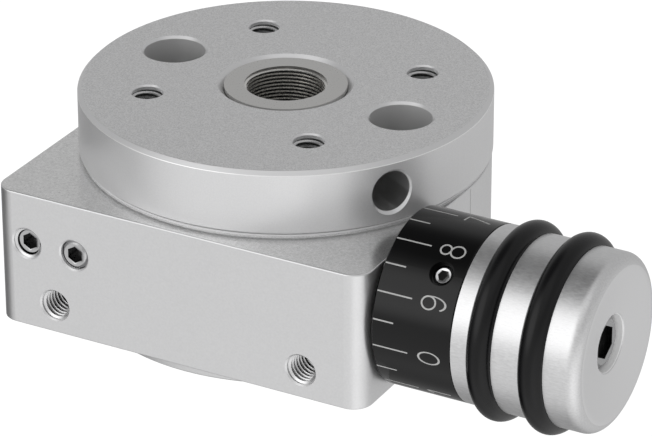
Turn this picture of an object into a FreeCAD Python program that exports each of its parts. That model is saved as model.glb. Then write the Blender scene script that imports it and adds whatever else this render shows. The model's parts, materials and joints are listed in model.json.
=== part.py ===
"""Rotary positioning table with a worm drive and a numbered setting knob.

A round table turns on a hollow spindle in a flat fronted housing. A single start worm drives it,
and the knob on the worm shaft carries a scale ring that can be set to zero.
Millimetres, +Z up. The origin is the centre of the mounting face under the base flange, on the
axis of the table. X runs along the worm shaft, towards the knob, and the front face looks along -Y.
"""

import FreeCAD
import Part
import Sketcher
import os
import re

VECTOR = FreeCAD.Vector

# Driving sizes: name, value, what it is
SIZES = [
    ("flange_inset", 0.05, "base flange inside the outline of the housing"),
    ("flange_height", 3.0, "base flange height"),
    ("flange_spigot_height", 6.0, "spigot of the base flange above its rim"),
    ("flange_screw_edge", 7.75, "flange screws from the rim of the flange"),
    ("flange_screw_dia", 4.0, "flange screw thread"),
    ("flange_screw_length", 8.0, "flange screw length"),
    ("body_inset", 0.2, "sides and round back of the housing inside the rim of the table"),
    ("front_reach", 2.6, "front face beyond the rim of the table"),
    ("sleeve_roof", 0.9, "metal over the worm sleeve"),
    ("boss_height", 0.4, "low boss under the table"),
    ("boss_inset", 0.4, "boss inside the sides of the housing"),
    ("corner_radius", 4.0, "front upright corners"),
    ("edge_break", 0.3, "small bevel or round on turned and milled edges"),
    ("wheel_room", 1.6, "room round the worm wheel"),
    ("lip_thickness", 1.9, "lip under the upper bearing"),
    ("lip_width", 0.8, "width of the lips that carry the main bearings"),
    ("table_dia", 80.0, "table diameter"),
    ("table_thickness", 12.7, "table thickness"),
    ("table_gap", 0.7, "gap between housing and table"),
    ("table_chamfer", 0.8, "bevel round the top of the table"),
    ("table_edge_round", 0.15, "rounding of the edges of that bevel"),
    ("table_angle", -6.5, "rest angle of the table"),
    ("hole_circle", 53.5, "circle of the table holes and spacing of the housing holes"),
    ("access_hole_dia", 12.0, "through holes over the fixing screws"),
    ("access_hole_chamfer", 0.5, "their bevel"),
    ("clamp_thread_dia", 6.0, "tapped holes in the table and the front face"),
    ("clamp_hole_chamfer", 0.3, "their bevel"),
    ("rim_hole_dia", 8.0, "bar hole in the rim of the table"),
    ("rim_hole_chamfer", 0.6, "its bevel"),
    ("rim_hole_drop", 0.25, "bar hole below the middle of the table thickness"),
    ("rim_hole_depth", 13.0, "depth of the bar hole"),
    ("rim_hole_angle", -24.7, "bar hole, from the line of the access holes"),
    ("table_bore_dia", 24.0, "centre bore of the table"),
    ("table_bore_chamfer", 1.2, "its bevel"),
    ("spindle_head_clearance", 0.1, "radial clearance of the spindle head in the table"),
    ("spindle_recess", 0.3, "spindle below the table top"),
    ("spindle_thread_dia", 16.0, "fine thread in the spindle"),
    ("spindle_thread_depth", 14.0, "depth of that thread"),
    ("spindle_bore_dia", 15.0, "through bore of the spindle"),
    ("spindle_flange_dia", 40.0, "spindle flange let into the table, clear of the access holes"),
    ("spindle_flange_thickness", 4.0, "its thickness"),
    ("spindle_screw_edge", 3.2, "screws up into the table, from the rim of that flange"),
    ("spindle_screw_dia", 2.5, "their thread"),
    ("spindle_screw_length", 8.0, "their length"),
    ("journal_dia", 25.0, "spindle journal"),
    ("main_bearing_section", 3.5, "main bearings from bore to outside"),
    ("main_bearing_width", 4.0, "main bearing width"),
    ("main_inner_wall", 1.2, "wall of their inner rings"),
    ("main_outer_wall", 1.0, "wall of their outer rings"),
    ("lock_nut_room", 0.7, "room round the lock nut"),
    ("lock_nut_height", 3.6, "lock nut height"),
    ("lock_nut_slot", 3.0, "width of its four slots"),
    ("gear_module", 1.0, "module of worm and wheel"),
    ("wheel_teeth", 36, "teeth of the worm wheel"),
    ("wheel_width", 7.0, "width of the toothed rim"),
    ("wheel_hub_wall", 1.8, "hub of the wheel outside the shoulders of its bearings"),
    ("tooth_backlash", 0.27, "tooth thinner than half the pitch"),
    ("tip_clearance", 0.3, "radial clearance of tooth tips"),
    ("key_width", 4.0, "wheel key width"),
    ("key_height", 3.0, "wheel key height"),
    ("key_length", 7.0, "wheel key length"),
    ("worm_pitch_dia", 12.0, "worm pitch diameter"),
    ("worm_height", 19.5, "worm axis above the mounting face"),
    ("worm_turns", 6.5, "turns of the worm thread"),
    ("worm_root_room", 0.2, "root of the worm thread below its full depth"),
    ("worm_end_room", 1.8, "relief in the sleeve beyond the ends of the worm thread"),
    ("shaft_dia", 8.0, "journals of the worm shaft"),
    ("shaft_stub", 0.5, "left end of the shaft beyond its bearing"),
    ("shaft_reach", 14.15, "right end of the shaft inside the knob"),
    ("worm_bearing_section", 3.0, "worm bearings from bore to outside"),
    ("worm_bearing_width", 4.0, "worm bearing width"),
    ("worm_bearing_inset", 8.8, "inner faces of the worm bearings inside the sides"),
    ("worm_inner_wall", 0.7, "wall of their inner rings"),
    ("worm_outer_wall", 0.8, "wall of their outer rings"),
    ("shield_thickness", 0.4, "bearing shields"),
    ("shield_gap", 0.2, "radial gap of the bearing shields"),
    ("sleeve_wall", 1.5, "least wall of the eccentric sleeve"),
    ("worm_room", 0.65, "room round the worm in the sleeve"),
    ("sleeve_offset", 1.0, "sleeve centre above the worm axis"),
    ("sleeve_end_wall", 1.6, "lip at the left end of the sleeve"),
    ("sleeve_recess", 0.4, "sleeve inside the right face"),
    ("sleeve_clearance", 0.01, "radial fit of sleeves, spigot and rings"),
    ("retainer_width", 3.0, "bearing retainer"),
    ("retainer_wall", 1.5, "its wall"),
    ("grub_dia", 6.0, "grub screws in the front face"),
    ("grub_key", 3.0, "their hexagon socket"),
    ("grub_inset", 7.2, "first grub screw from the left side"),
    ("grub_spacing", 10.5, "second grub screw from the first"),
    ("pad_room", 0.4, "soft pad under the second one, inside its thread"),
    ("grub_left_recess", 1.1, "first grub screw below the face"),
    ("grub_right_recess", 0.3, "second grub screw below the face"),
    ("front_hole_height", 8.7, "mounting holes above the mounting face"),
    ("front_hole_depth", 9.0, "their depth"),
    ("fixing_dia", 6.6, "clearance holes for the fixing screws"),
    ("fixing_head_dia", 11.0, "their counterbores"),
    ("fixing_head_depth", 6.4, "depth of the counterbores"),
    ("scale_gap", 0.8, "scale ring from the right face"),
    ("scale_width", 16.05, "scale ring width"),
    ("scale_chamfer", 0.3, "bevels of the scale ring"),
    ("knob_dia", 34.0, "knob and scale ring diameter"),
    ("knob_gap", 0.2, "knob from the scale ring"),
    ("knob_length", 25.85, "knob from its inner face to the unrounded corner of its rim"),
    ("knob_round", 2.5, "rounding of the knob rim"),
    ("knob_dish", 1.85, "hollow of the knob end"),
    ("hub_dia", 22.0, "knob hub inside the scale ring"),
    ("hub_inset", 0.6, "hub inside the left end of the scale ring"),
    ("hub_clearance", 0.03, "radial fit of the scale ring on the hub"),
    ("cord_ring_dia", 4.95, "rubber ring section"),
    ("groove_depth", 3.0, "depth of the rubber ring grooves"),
    ("groove_one", 5.65, "middle of the first groove from the knob's inner face"),
    ("groove_two", 16.0, "middle of the second groove from the knob's inner face"),
    ("end_screw_dia", 6.0, "screw that holds the knob"),
    ("end_screw_head_dia", 10.0, "its head"),
    ("end_screw_key", 5.0, "its hexagon socket"),
    ("end_screw_length", 14.0, "its length under the head"),
    ("end_screw_recess", 1.0, "its head below the knob end"),
    ("end_hole_room", 0.5, "room round the head"),
    ("end_hole_chamfer", 0.25, "bevel of that hole"),
    ("end_screw_room", 0.25, "room round its thread in the knob"),
    ("knob_web", 2.85, "web between shaft end and screw head"),
    ("hub_screw_dia", 3.0, "set screw in the hub"),
    ("hub_screw_recess", 1.0, "its socket end below the hub"),
    ("hub_screw_key", 1.5, "its hexagon socket"),
    ("hub_screw_place", 6.0, "its place from the left end of the hub"),
    ("scale_screw_dia", 4.0, "grub screw in the scale ring"),
    ("scale_pad_thickness", 0.97, "soft pad under it"),
    ("scale_screw_key", 2.0, "its hexagon socket"),
    ("scale_screw_room", 0.4, "room round its outer end"),
    ("scale_screw_recess", 1.0, "grub screw below the ring surface"),
    ("scale_screw_place", 11.6, "grub screw from the left end of the ring"),
    ("scale_screw_angle", 47.1, "grub screw above the horizontal"),
]

# Heights, radii and places worked out from the sizes
RIGHT_FACE = "(table_dia / 2 - body_inset)"
FRONT = "(table_dia / 2 + front_reach)"
FLANGE_RADIUS = f"({RIGHT_FACE} - flange_inset)"
FLANGE_SCREW_PLACE = f"({FLANGE_RADIUS} - flange_screw_edge)"
BOSS_RADIUS = f"({RIGHT_FACE} - boss_inset)"

MAIN_SHOULDER = "(journal_dia / 2 + main_inner_wall)"
MAIN_BEARING_RADIUS = "(journal_dia / 2 + main_bearing_section)"
MAIN_RACE = f"({MAIN_BEARING_RADIUS} - main_outer_wall)"
LIP = f"({MAIN_BEARING_RADIUS} - lip_width)"
NUT_RADIUS = f"({LIP} - lock_nut_room)"
SPINDLE_SCREW_PLACE = "(spindle_flange_dia / 2 - spindle_screw_edge)"

WORM_Y = "((gear_module * wheel_teeth + worm_pitch_dia) / 2)"
WORM_CORE = "(worm_pitch_dia / 2 - gear_module - worm_root_room)"
WORM_TIP_RADIUS = "(worm_pitch_dia / 2 + gear_module - tip_clearance / 6)"
WHEEL_PITCH_RADIUS = "(gear_module * wheel_teeth / 2)"
WHEEL_TIP_RADIUS = f"({WORM_Y} - {WORM_CORE} - tip_clearance)"
WHEEL_ROOT_RADIUS = f"({WORM_Y} - {WORM_TIP_RADIUS} - tip_clearance)"
CAVITY = f"({WHEEL_TIP_RADIUS} + wheel_room)"
THREAD_PITCH = "(3.14159265 * gear_module)"
TOOTH_THICKNESS = f"({THREAD_PITCH} / 2 - tooth_backlash)"
PRESSURE_TANGENT = "0.364"

WORM_SHOULDER = "(shaft_dia / 2 + worm_inner_wall)"
WORM_BEARING_RADIUS = "(shaft_dia / 2 + worm_bearing_section)"
WORM_RACE = f"({WORM_BEARING_RADIUS} - worm_outer_wall)"
WORM_SEAT = f"({RIGHT_FACE} - worm_bearing_inset)"
WORM_SEAT_END = f"({WORM_SEAT} + worm_bearing_width)"
SLEEVE_LEFT = f"({WORM_SEAT_END} + sleeve_end_wall)"
SLEEVE_RADIUS = f"({WORM_BEARING_RADIUS} + sleeve_offset + sleeve_wall)"
SLEEVE_HEIGHT = "(worm_height + sleeve_offset)"
RELIEF_REACH = f"({THREAD_PITCH} * worm_turns / 2 + worm_end_room)"
GRUB_LENGTH = f"({FRONT} - grub_left_recess - {WORM_Y} - {SLEEVE_RADIUS})"
GRUB_PLACE = {"left": f"(grub_inset - {RIGHT_FACE})", "right": f"(grub_inset + grub_spacing - {RIGHT_FACE})"}

HOUSING_TOP = f"({SLEEVE_HEIGHT} + {SLEEVE_RADIUS} + sleeve_roof)"
BOSS_TOP = f"({HOUSING_TOP} + boss_height)"
TABLE_BOTTOM = f"({HOUSING_TOP} + table_gap)"
TABLE_TOP = f"({TABLE_BOTTOM} + table_thickness)"
LOWER_TOP = "(flange_height + flange_spigot_height)"
LOWER_SEAT = f"({LOWER_TOP} - main_bearing_width)"
UPPER_SEAT = f"({HOUSING_TOP} - main_bearing_width)"
LIP_BOTTOM = f"({UPPER_SEAT} - lip_thickness)"
SPINDLE_FLANGE_TOP = f"({TABLE_BOTTOM} + spindle_flange_thickness)"
SPINDLE_TOP = f"({TABLE_TOP} - spindle_recess)"
NUT_BOTTOM = f"({LOWER_SEAT} - lock_nut_height)"

RING_LEFT = f"({RIGHT_FACE} + scale_gap)"
RING_RIGHT = f"({RING_LEFT} + scale_width)"
KNOB_LEFT = f"({RING_RIGHT} + knob_gap)"
KNOB_RIGHT = f"({KNOB_LEFT} + knob_length)"
KNOB_MOUTH = f"({KNOB_RIGHT} - knob_dish)"
HUB_LEFT = f"({RING_LEFT} + hub_inset)"
GROOVE_RADIUS = "(knob_dia / 2 - groove_depth)"
SHAFT_RIGHT = f"({KNOB_LEFT} + shaft_reach)"
HEAD_SEAT = f"({SHAFT_RIGHT} + knob_web)"
END_HOLE_RADIUS = "(end_screw_head_dia / 2 + end_hole_room)"
HUB_SCREW_LENGTH = "(hub_dia / 2 - shaft_dia / 2 - hub_screw_recess)"
SCALE_SCREW_START = "(knob_dia / 2 - scale_screw_recess)"
SCALE_SCREW_LENGTH = f"({SCALE_SCREW_START} - scale_pad_thickness - hub_dia / 2 - hub_clearance)"

ALIASES = {name for name, value, note in SIZES}
doc = FreeCAD.newDocument("rotary_table")
sheet = doc.addObject("Spreadsheet::Sheet", "sizes")
for row, (name, value, note) in enumerate(SIZES, start=1):
    sheet.set(f"A{row}", name)
    sheet.set(f"B{row}", str(value))
    sheet.setAlias(f"B{row}", name)
    sheet.set(f"C{row}", note)
doc.recompute()

parts = []


def linked(expression):
    """The expression with each size name pointed at its cell."""
    return re.sub(r"[a-z_]+", lambda m: "sizes." + m.group(0) if m.group(0) in ALIASES else m.group(0),
                  expression)


def number(expression):
    """The present value of an expression over the sizes."""
    return float(sheet.evalExpression(linked(expression)))


def bind(target, path, expression):
    """Tie a property of an object to the sizes."""
    target.setExpression(path, linked(expression))


def origin_item(body, role):
    """An origin plane or axis of a body, by its role."""
    return next(item for item in body.Origin.OriginFeatures if item.Role == role)


def place(target, x="0", y="0", z="0", axis=None, angle="0"):
    """Bind the place of a sub-part, turned about one axis."""
    if axis is not None:
        target.Placement = FreeCAD.Placement(VECTOR(), FreeCAD.Rotation(VECTOR(*axis), 1.0))
        bind(target, "Placement.Rotation.Angle", angle)
    bind(target, "Placement.Base.x", x)
    bind(target, "Placement.Base.y", y)
    bind(target, "Placement.Base.z", z)


def new_body(label):
    """An empty body that becomes one sub-part."""
    body = doc.addObject("PartDesign::Body", label)
    body.Label = label
    return body


def keep(item, label=None):
    """Count a finished object as a sub-part."""
    if label is not None:
        item.Label = label
    parts.append(item)
    return item


def new_sketch(body, name, role, offset="0", turn=None):
    """A sketch on an origin plane, moved along its normal or turned about its upright axis."""
    sketch = body.newObject("Sketcher::SketchObject", name)
    sketch.AttachmentSupport = (origin_item(body, role), [""])
    sketch.MapMode = "FlatFace"
    if turn is not None:
        sketch.AttachmentOffset = FreeCAD.Placement(VECTOR(), FreeCAD.Rotation(VECTOR(0, 1, 0), 1.0))
        bind(sketch, "AttachmentOffset.Rotation.Angle", turn)
    if offset != "0":
        bind(sketch, "AttachmentOffset.Base.z", offset)
    return sketch


def fix_point(sketch, line, across, up):
    """Bind the first point of a line to a pair of expressions."""
    if across == "0" and up == "0":
        sketch.addConstraint(Sketcher.Constraint("Coincident", line, 1, -1, 1))
        return
    if across == "0":
        sketch.addConstraint(Sketcher.Constraint("PointOnObject", line, 1, -2))
    else:
        index = sketch.addConstraint(Sketcher.Constraint("DistanceX", -1, 1, line, 1, number(across)))
        bind(sketch, f"Constraints[{index}]", across)
    if up == "0":
        sketch.addConstraint(Sketcher.Constraint("PointOnObject", line, 1, -1))
    else:
        index = sketch.addConstraint(Sketcher.Constraint("DistanceY", -1, 1, line, 1, number(up)))
        bind(sketch, f"Constraints[{index}]", up)


def draw_outline(sketch, points):
    """Draw a closed outline whose corners are pairs of expressions."""
    corners = [VECTOR(number(across), number(up), 0) for across, up in points]
    count = len(corners)
    first = sketch.GeometryCount
    for i in range(count):
        sketch.addGeometry(Part.LineSegment(corners[i], corners[(i + 1) % count]), False)
    for i in range(count):
        following = first + (i + 1) % count
        sketch.addConstraint(Sketcher.Constraint("Coincident", first + i, 2, following, 1))
    for i, (across, up) in enumerate(points):
        fix_point(sketch, first + i, across, up)


def draw_axis(sketch, start, end):
    """Draw a construction line to turn an outline about."""
    line = sketch.GeometryCount
    ends = [VECTOR(number(across), number(up), 0) for across, up in (start, end)]
    sketch.addGeometry(Part.LineSegment(ends[0], ends[1]), True)
    fix_point(sketch, line, *start)
    if start[0] == end[0]:
        sketch.addConstraint(Sketcher.Constraint("Vertical", line))
        direction, span = "DistanceY", number(end[1])
        expression = end[1]
    else:
        sketch.addConstraint(Sketcher.Constraint("Horizontal", line))
        direction, span = "DistanceX", number(end[0])
        expression = end[0]
    if expression == "0":
        on_axis = -1 if direction == "DistanceY" else -2
        sketch.addConstraint(Sketcher.Constraint("PointOnObject", line, 2, on_axis))
        return
    index = sketch.addConstraint(Sketcher.Constraint(direction, -1, 1, line, 2, span))
    bind(sketch, f"Constraints[{index}]", expression)


def turned(label, points, upright=True):
    """A turned body: the outline in the XZ plane, spun about Z or about X."""
    body = new_body(label)
    sketch = new_sketch(body, label + "_outline", "XZ_Plane")
    draw_outline(sketch, points)
    spin = body.newObject("PartDesign::Revolution", label + "_turned")
    spin.Profile = sketch
    spin.ReferenceAxis = (sketch, ["V_Axis" if upright else "H_Axis"])
    spin.Angle = 360
    return body


def bored(body, name, role, points, axis, offset="0", turn=None):
    """Cut a stepped hole: an outline turned about a construction line."""
    sketch = new_sketch(body, name + "_outline", role, offset, turn)
    draw_outline(sketch, points)
    draw_axis(sketch, *axis)
    cut = body.newObject("PartDesign::Groove", name)
    cut.Profile = sketch
    cut.ReferenceAxis = (sketch, ["Axis0"])
    cut.Angle = 360
    return cut


def upright_hole(body, name, distance, top, steps, turn=None):
    """A hole along Z at a distance from the axis; steps are pairs of radius and height."""
    points = [(distance, top)]
    points += [(f"({distance} + {radius})", height) for radius, height in steps]
    bottom = steps[-1][1]
    points.append((distance, bottom))
    return bored(body, name, "XZ_Plane", points, ((distance, top), (distance, bottom)), turn=turn)


def front_hole(body, name, side, height, steps):
    """A hole along Y at a place along X; steps are pairs of radius and Y."""
    start = steps[0][1]
    points = [(start, height)]
    points += [(y, f"({height} + {radius})") for radius, y in steps]
    end = steps[-1][1]
    if steps[-1][0] != "0":
        points.append((end, height))
    return bored(body, name, "YZ_Plane", points, ((start, height), (end, height)), offset=side)


def repeat_round(body, name, feature, count):
    """Repeat a feature evenly about Z."""
    pattern = body.newObject("PartDesign::PolarPattern", name)
    pattern.Originals = [feature]
    pattern.Axis = (origin_item(body, "Z_Axis"), [""])
    pattern.Angle = 360
    if isinstance(count, str):
        bind(pattern, "Occurrences", count)
    else:
        pattern.Occurrences = count
    body.Tip = pattern
    return pattern


def mirror_across(body, name, feature):
    """Mirror a feature to the other side of the table axis."""
    mirror = body.newObject("PartDesign::Mirrored", name)
    mirror.Originals = [feature]
    mirror.MirrorPlane = (origin_item(body, "YZ_Plane"), [""])
    body.Tip = mirror
    return mirror


def hexagon(size):
    """Corners of a hexagon of the given size across its flats."""
    far, near, half = f"({size} / sqrt(3))", f"({size} / sqrt(12))", f"({size} / 2)"
    return [(far, "0"), (near, half), (f"-{near}", half), (f"-{far}", "0"),
            (f"-{near}", f"-{half}"), (near, f"-{half}")]


def socket(body, name, size, top, depth):
    """A hexagon socket cut down from a height."""
    sketch = new_sketch(body, name + "_outline", "XY_Plane", offset=top)
    draw_outline(sketch, hexagon(size))
    pocket = body.newObject("PartDesign::Pocket", name)
    pocket.Profile = sketch
    bind(pocket, "Length", depth)
    return pocket


def grub_screw(label, dia, length, size):
    """A grub screw along Z, its socket end at the origin and its tip below."""
    bevel = f"({dia} / 12)"
    body = turned(label, [("0", "0"), (f"({dia} / 2 - {bevel})", "0"), (f"({dia} / 2)", f"-{bevel}"),
                          (f"({dia} / 2)", f"(-{length} + {dia} / 6)"), (f"({dia} / 3)", f"-{length}"),
                          ("0", f"-{length}")])
    socket(body, label + "_socket", size, "0", f"({length} / 2)")
    return body


def sunk_screw(label, dia, length, size):
    """A countersunk screw along Z, its flat head at the origin and its tip above."""
    body = turned(label, [("0", "0"), (dia, "0"), (f"({dia} / 2)", f"({dia} / 2)"),
                          (f"({dia} / 2)", length), ("0", length)])
    sketch = new_sketch(body, label + "_socket_outline", "XY_Plane")
    draw_outline(sketch, hexagon(size))
    pocket = body.newObject("PartDesign::Pocket", label + "_socket")
    pocket.Profile = sketch
    pocket.Reversed = True
    bind(pocket, "Length", f"({dia} / 3)")
    return body


def group(label, bodies):
    """Identical fasteners as one sub-part of separate solids."""
    compound = doc.addObject("Part::Compound", label)
    compound.Links = bodies
    return keep(compound, label)


def outer_ring(label, outer, race, inner, width, start, upright=True):
    """A shielded bearing outer ring, its shields turned in one with it."""
    shield = f"({inner} + shield_gap)"
    low, high = start, f"({start} + {width})"
    inset_low, inset_high = f"({start} + shield_thickness)", f"({start} + {width} - shield_thickness)"
    points = [(shield, low), (outer, low), (outer, high), (shield, high), (shield, inset_high),
              (race, inset_high), (race, inset_low), (shield, inset_low)]
    if not upright:
        points = [(up, across) for across, up in points]
    return keep(turned(label, points, upright))


def inner_ring(label, bore, outer, width, start, upright=True):
    """A bearing inner ring."""
    high = f"({start} + {width})"
    points = [(bore, start), (outer, start), (outer, high), (bore, high)]
    if not upright:
        points = [(up, across) for across, up in points]
    return keep(turned(label, points, upright))


def housing():
    """Flat front, round back, stepped bore for the spindle and a cross bore for the worm."""
    body = new_body("housing")
    outline = new_sketch(body, "housing_outline", "XY_Plane", offset="flange_height")
    half, front = number(RIGHT_FACE), number(FRONT)
    outline.addGeometry(Part.LineSegment(VECTOR(-half, 0, 0), VECTOR(-half, -front, 0)), False)
    outline.addGeometry(Part.LineSegment(VECTOR(-half, -front, 0), VECTOR(half, -front, 0)), False)
    outline.addGeometry(Part.LineSegment(VECTOR(half, -front, 0), VECTOR(half, 0, 0)), False)
    back = Part.ArcOfCircle(Part.Circle(VECTOR(), VECTOR(0, 0, 1), half), 0, 3.14159265)
    outline.addGeometry(back, False)
    for first, second in ((0, 1), (1, 2)):
        outline.addConstraint(Sketcher.Constraint("Coincident", first, 2, second, 1))
    outline.addConstraint(Sketcher.Constraint("Coincident", 2, 2, 3, 1))
    outline.addConstraint(Sketcher.Constraint("Coincident", 3, 2, 0, 1))
    outline.addConstraint(Sketcher.Constraint("Coincident", 3, 3, -1, 1))
    outline.addConstraint(Sketcher.Constraint("PointOnObject", 3, 1, -1))
    outline.addConstraint(Sketcher.Constraint("PointOnObject", 3, 2, -1))
    outline.addConstraint(Sketcher.Constraint("Vertical", 0))
    outline.addConstraint(Sketcher.Constraint("Horizontal", 1))
    outline.addConstraint(Sketcher.Constraint("Vertical", 2))
    radius = outline.addConstraint(Sketcher.Constraint("Radius", 3, half))
    bind(outline, f"Constraints[{radius}]", RIGHT_FACE)
    depth = outline.addConstraint(Sketcher.Constraint("DistanceY", 1, 1, -1, 1, front))
    bind(outline, f"Constraints[{depth}]", FRONT)
    block = body.newObject("PartDesign::Pad", "housing_block")
    block.Profile = outline
    bind(block, "Length", f"({HOUSING_TOP} - flange_height)")
    doc.recompute()
    corners = [f"Edge{i}" for i, edge in enumerate(block.Shape.Edges, start=1)
               if all(abs(v.Point.y + front) < 0.01 for v in edge.Vertexes)
               and abs(edge.Vertexes[0].Point.x - edge.Vertexes[-1].Point.x) < 0.01]
    rounded = body.newObject("PartDesign::Fillet", "front_corners")
    rounded.Base = (block, corners)
    bind(rounded, "Radius", "corner_radius")
    doc.recompute()
    rims = [f"Edge{i}" for i, edge in enumerate(rounded.Shape.Edges, start=1)
            if abs(edge.Vertexes[0].Point.z - edge.Vertexes[-1].Point.z) < 0.01]
    eased = body.newObject("PartDesign::Fillet", "housing_edges")
    eased.Base = (rounded, rims)
    bind(eased, "Radius", "edge_break")
    ring = new_sketch(body, "boss_outline", "XY_Plane", offset=HOUSING_TOP)
    ring.addGeometry(Part.Circle(VECTOR(), VECTOR(0, 0, 1), number(BOSS_RADIUS)), False)
    ring.addConstraint(Sketcher.Constraint("Coincident", 0, 3, -1, 1))
    radius = ring.addConstraint(Sketcher.Constraint("Radius", 0, number(BOSS_RADIUS)))
    bind(ring, f"Constraints[{radius}]", BOSS_RADIUS)
    boss = body.newObject("PartDesign::Pad", "table_boss")
    boss.Profile = ring
    bind(boss, "Length", "boss_height")
    bored(body, "spindle_bore", "XZ_Plane",
          [("0", "flange_height"), (CAVITY, "flange_height"), (CAVITY, LIP_BOTTOM), (LIP, LIP_BOTTOM),
           (LIP, UPPER_SEAT), (MAIN_BEARING_RADIUS, UPPER_SEAT), (MAIN_BEARING_RADIUS, BOSS_TOP),
           ("0", BOSS_TOP)],
          (("0", "flange_height"), ("0", BOSS_TOP)))
    fixing = upright_hole(body, "fixing_hole", "(hole_circle / 2)", BOSS_TOP,
                          [("fixing_head_dia / 2", BOSS_TOP),
                           ("fixing_head_dia / 2", f"({HOUSING_TOP} - fixing_head_depth)"),
                           ("fixing_dia / 2", f"({HOUSING_TOP} - fixing_head_depth)"),
                           ("fixing_dia / 2", "flange_height")])
    mirror_across(body, "fixing_holes", fixing)
    face = f"(-{FRONT})"
    mount = front_hole(body, "front_hole", "(hole_circle / 2)", "front_hole_height",
                       [("(clamp_thread_dia / 2 + clamp_hole_chamfer)", face),
                        ("clamp_thread_dia / 2", f"({face} + clamp_hole_chamfer)"),
                        ("clamp_thread_dia / 2", f"({face} + front_hole_depth)"),
                        ("0", f"({face} + front_hole_depth + clamp_thread_dia / 4)")])
    mirror_across(body, "front_holes", mount)
    for name, side in GRUB_PLACE.items():
        front_hole(body, f"grub_hole_{name}", side, SLEEVE_HEIGHT,
                   [("(grub_dia / 2 + clamp_hole_chamfer)", face),
                    ("grub_dia / 2", f"({face} + clamp_hole_chamfer)"),
                    ("grub_dia / 2", f"(-{WORM_Y})")])
    bored(body, "sleeve_bore", "XZ_Plane",
          [(f"(-{SLEEVE_LEFT})", SLEEVE_HEIGHT), (f"(-{SLEEVE_LEFT})", f"({SLEEVE_HEIGHT} + {SLEEVE_RADIUS})"),
           (RIGHT_FACE, f"({SLEEVE_HEIGHT} + {SLEEVE_RADIUS})"), (RIGHT_FACE, SLEEVE_HEIGHT)],
          ((f"(-{SLEEVE_LEFT})", SLEEVE_HEIGHT), (RIGHT_FACE, SLEEVE_HEIGHT)), offset=WORM_Y)
    screw = upright_hole(body, "flange_screw_hole", FLANGE_SCREW_PLACE, "flange_height",
                         [("flange_screw_dia / 2", "flange_height"),
                          ("flange_screw_dia / 2", "(flange_screw_length + 0.5)")],
                         turn="30")
    repeat_round(body, "flange_screw_holes", screw, 6)
    return keep(body)


def base_flange():
    """Round mounting flange whose spigot centres it in the housing and carries the lower bearing."""
    spigot = f"({CAVITY} - sleeve_clearance)"
    body = turned("base_flange", [
        (LIP, "0"), (f"({FLANGE_RADIUS} - edge_break)", "0"), (FLANGE_RADIUS, "edge_break"),
        (FLANGE_RADIUS, "flange_height"), (spigot, "flange_height"), (spigot, LOWER_TOP),
        (MAIN_BEARING_RADIUS, LOWER_TOP), (MAIN_BEARING_RADIUS, LOWER_SEAT), (LIP, LOWER_SEAT)])
    fixing = upright_hole(body, "flange_fixing_hole", "(hole_circle / 2)", "0",
                          [("fixing_dia / 2", "0"), ("fixing_dia / 2", "flange_height")])
    repeat_round(body, "flange_fixing_holes", fixing, 2)
    head = "(flange_screw_dia + 0.1)"
    screw = upright_hole(body, "flange_countersink", FLANGE_SCREW_PLACE, "0",
                         [(head, "0"), (head, "0.1"),
                          ("flange_screw_dia / 2", f"({head} - flange_screw_dia / 2 + 0.1)"),
                          ("flange_screw_dia / 2", "flange_height")],
                         turn="30")
    repeat_round(body, "flange_countersinks", screw, 6)
    return keep(body)


def base_flange_screws():
    """Six countersunk screws that hold the base flange."""
    screws = []
    for i in range(6):
        body = sunk_screw(f"base_flange_screw_{i + 1}", "flange_screw_dia", "flange_screw_length",
                          "(flange_screw_dia * 0.625)")
        angle = 30 + 60 * i
        place(body, f"({FLANGE_SCREW_PLACE} * cos({angle}))", f"({FLANGE_SCREW_PLACE} * sin({angle}))", "0.1")
        screws.append(body)
    return group("base_flange_screws", screws)


def worm_sleeve():
    """Eccentric sleeve round the worm, open towards the wheel."""
    length = f"({SLEEVE_LEFT} + {RIGHT_FACE} - sleeve_recess)"
    blank = doc.addObject("Part::Cylinder", "sleeve_blank")
    bind(blank, "Radius", f"({SLEEVE_RADIUS} - sleeve_clearance)")
    bind(blank, "Height", length)
    place(blank, f"(-{SLEEVE_LEFT})", f"(-{WORM_Y})", SLEEVE_HEIGHT, (0, 1, 0), "90")
    bore = doc.addObject("Part::Cylinder", "sleeve_bore_tool")
    bind(bore, "Radius", WORM_BEARING_RADIUS)
    bind(bore, "Height", length)
    place(bore, f"(-{SLEEVE_LEFT} + sleeve_end_wall)", f"(-{WORM_Y})", "worm_height", (0, 1, 0), "90")
    relief = doc.addObject("Part::Cylinder", "sleeve_relief_tool")
    bind(relief, "Radius", f"({WORM_TIP_RADIUS} + worm_room)")
    bind(relief, "Height", f"(2 * {RELIEF_REACH})")
    place(relief, f"(-{RELIEF_REACH})", f"(-{WORM_Y})", "worm_height", (0, 1, 0), "90")
    mouth = doc.addObject("Part::Cylinder", "sleeve_mouth_tool")
    bind(mouth, "Radius", WORM_RACE)
    bind(mouth, "Height", "(2 * sleeve_end_wall)")
    place(mouth, f"(-{SLEEVE_LEFT} - sleeve_end_wall / 2)", f"(-{WORM_Y})", "worm_height", (0, 1, 0), "90")
    window = doc.addObject("Part::Cylinder", "sleeve_window_tool")
    bind(window, "Radius", f"({WHEEL_TIP_RADIUS} + 1)")
    bind(window, "Height", "(wheel_width + 2)")
    place(window, z="(worm_height - wheel_width / 2 - 1)")
    tools = doc.addObject("Part::MultiFuse", "sleeve_tools")
    tools.Shapes = [bore, relief, mouth, window]
    cut = doc.addObject("Part::Cut", "worm_sleeve")
    cut.Base = blank
    cut.Tool = tools
    return keep(cut, "worm_sleeve")


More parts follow.
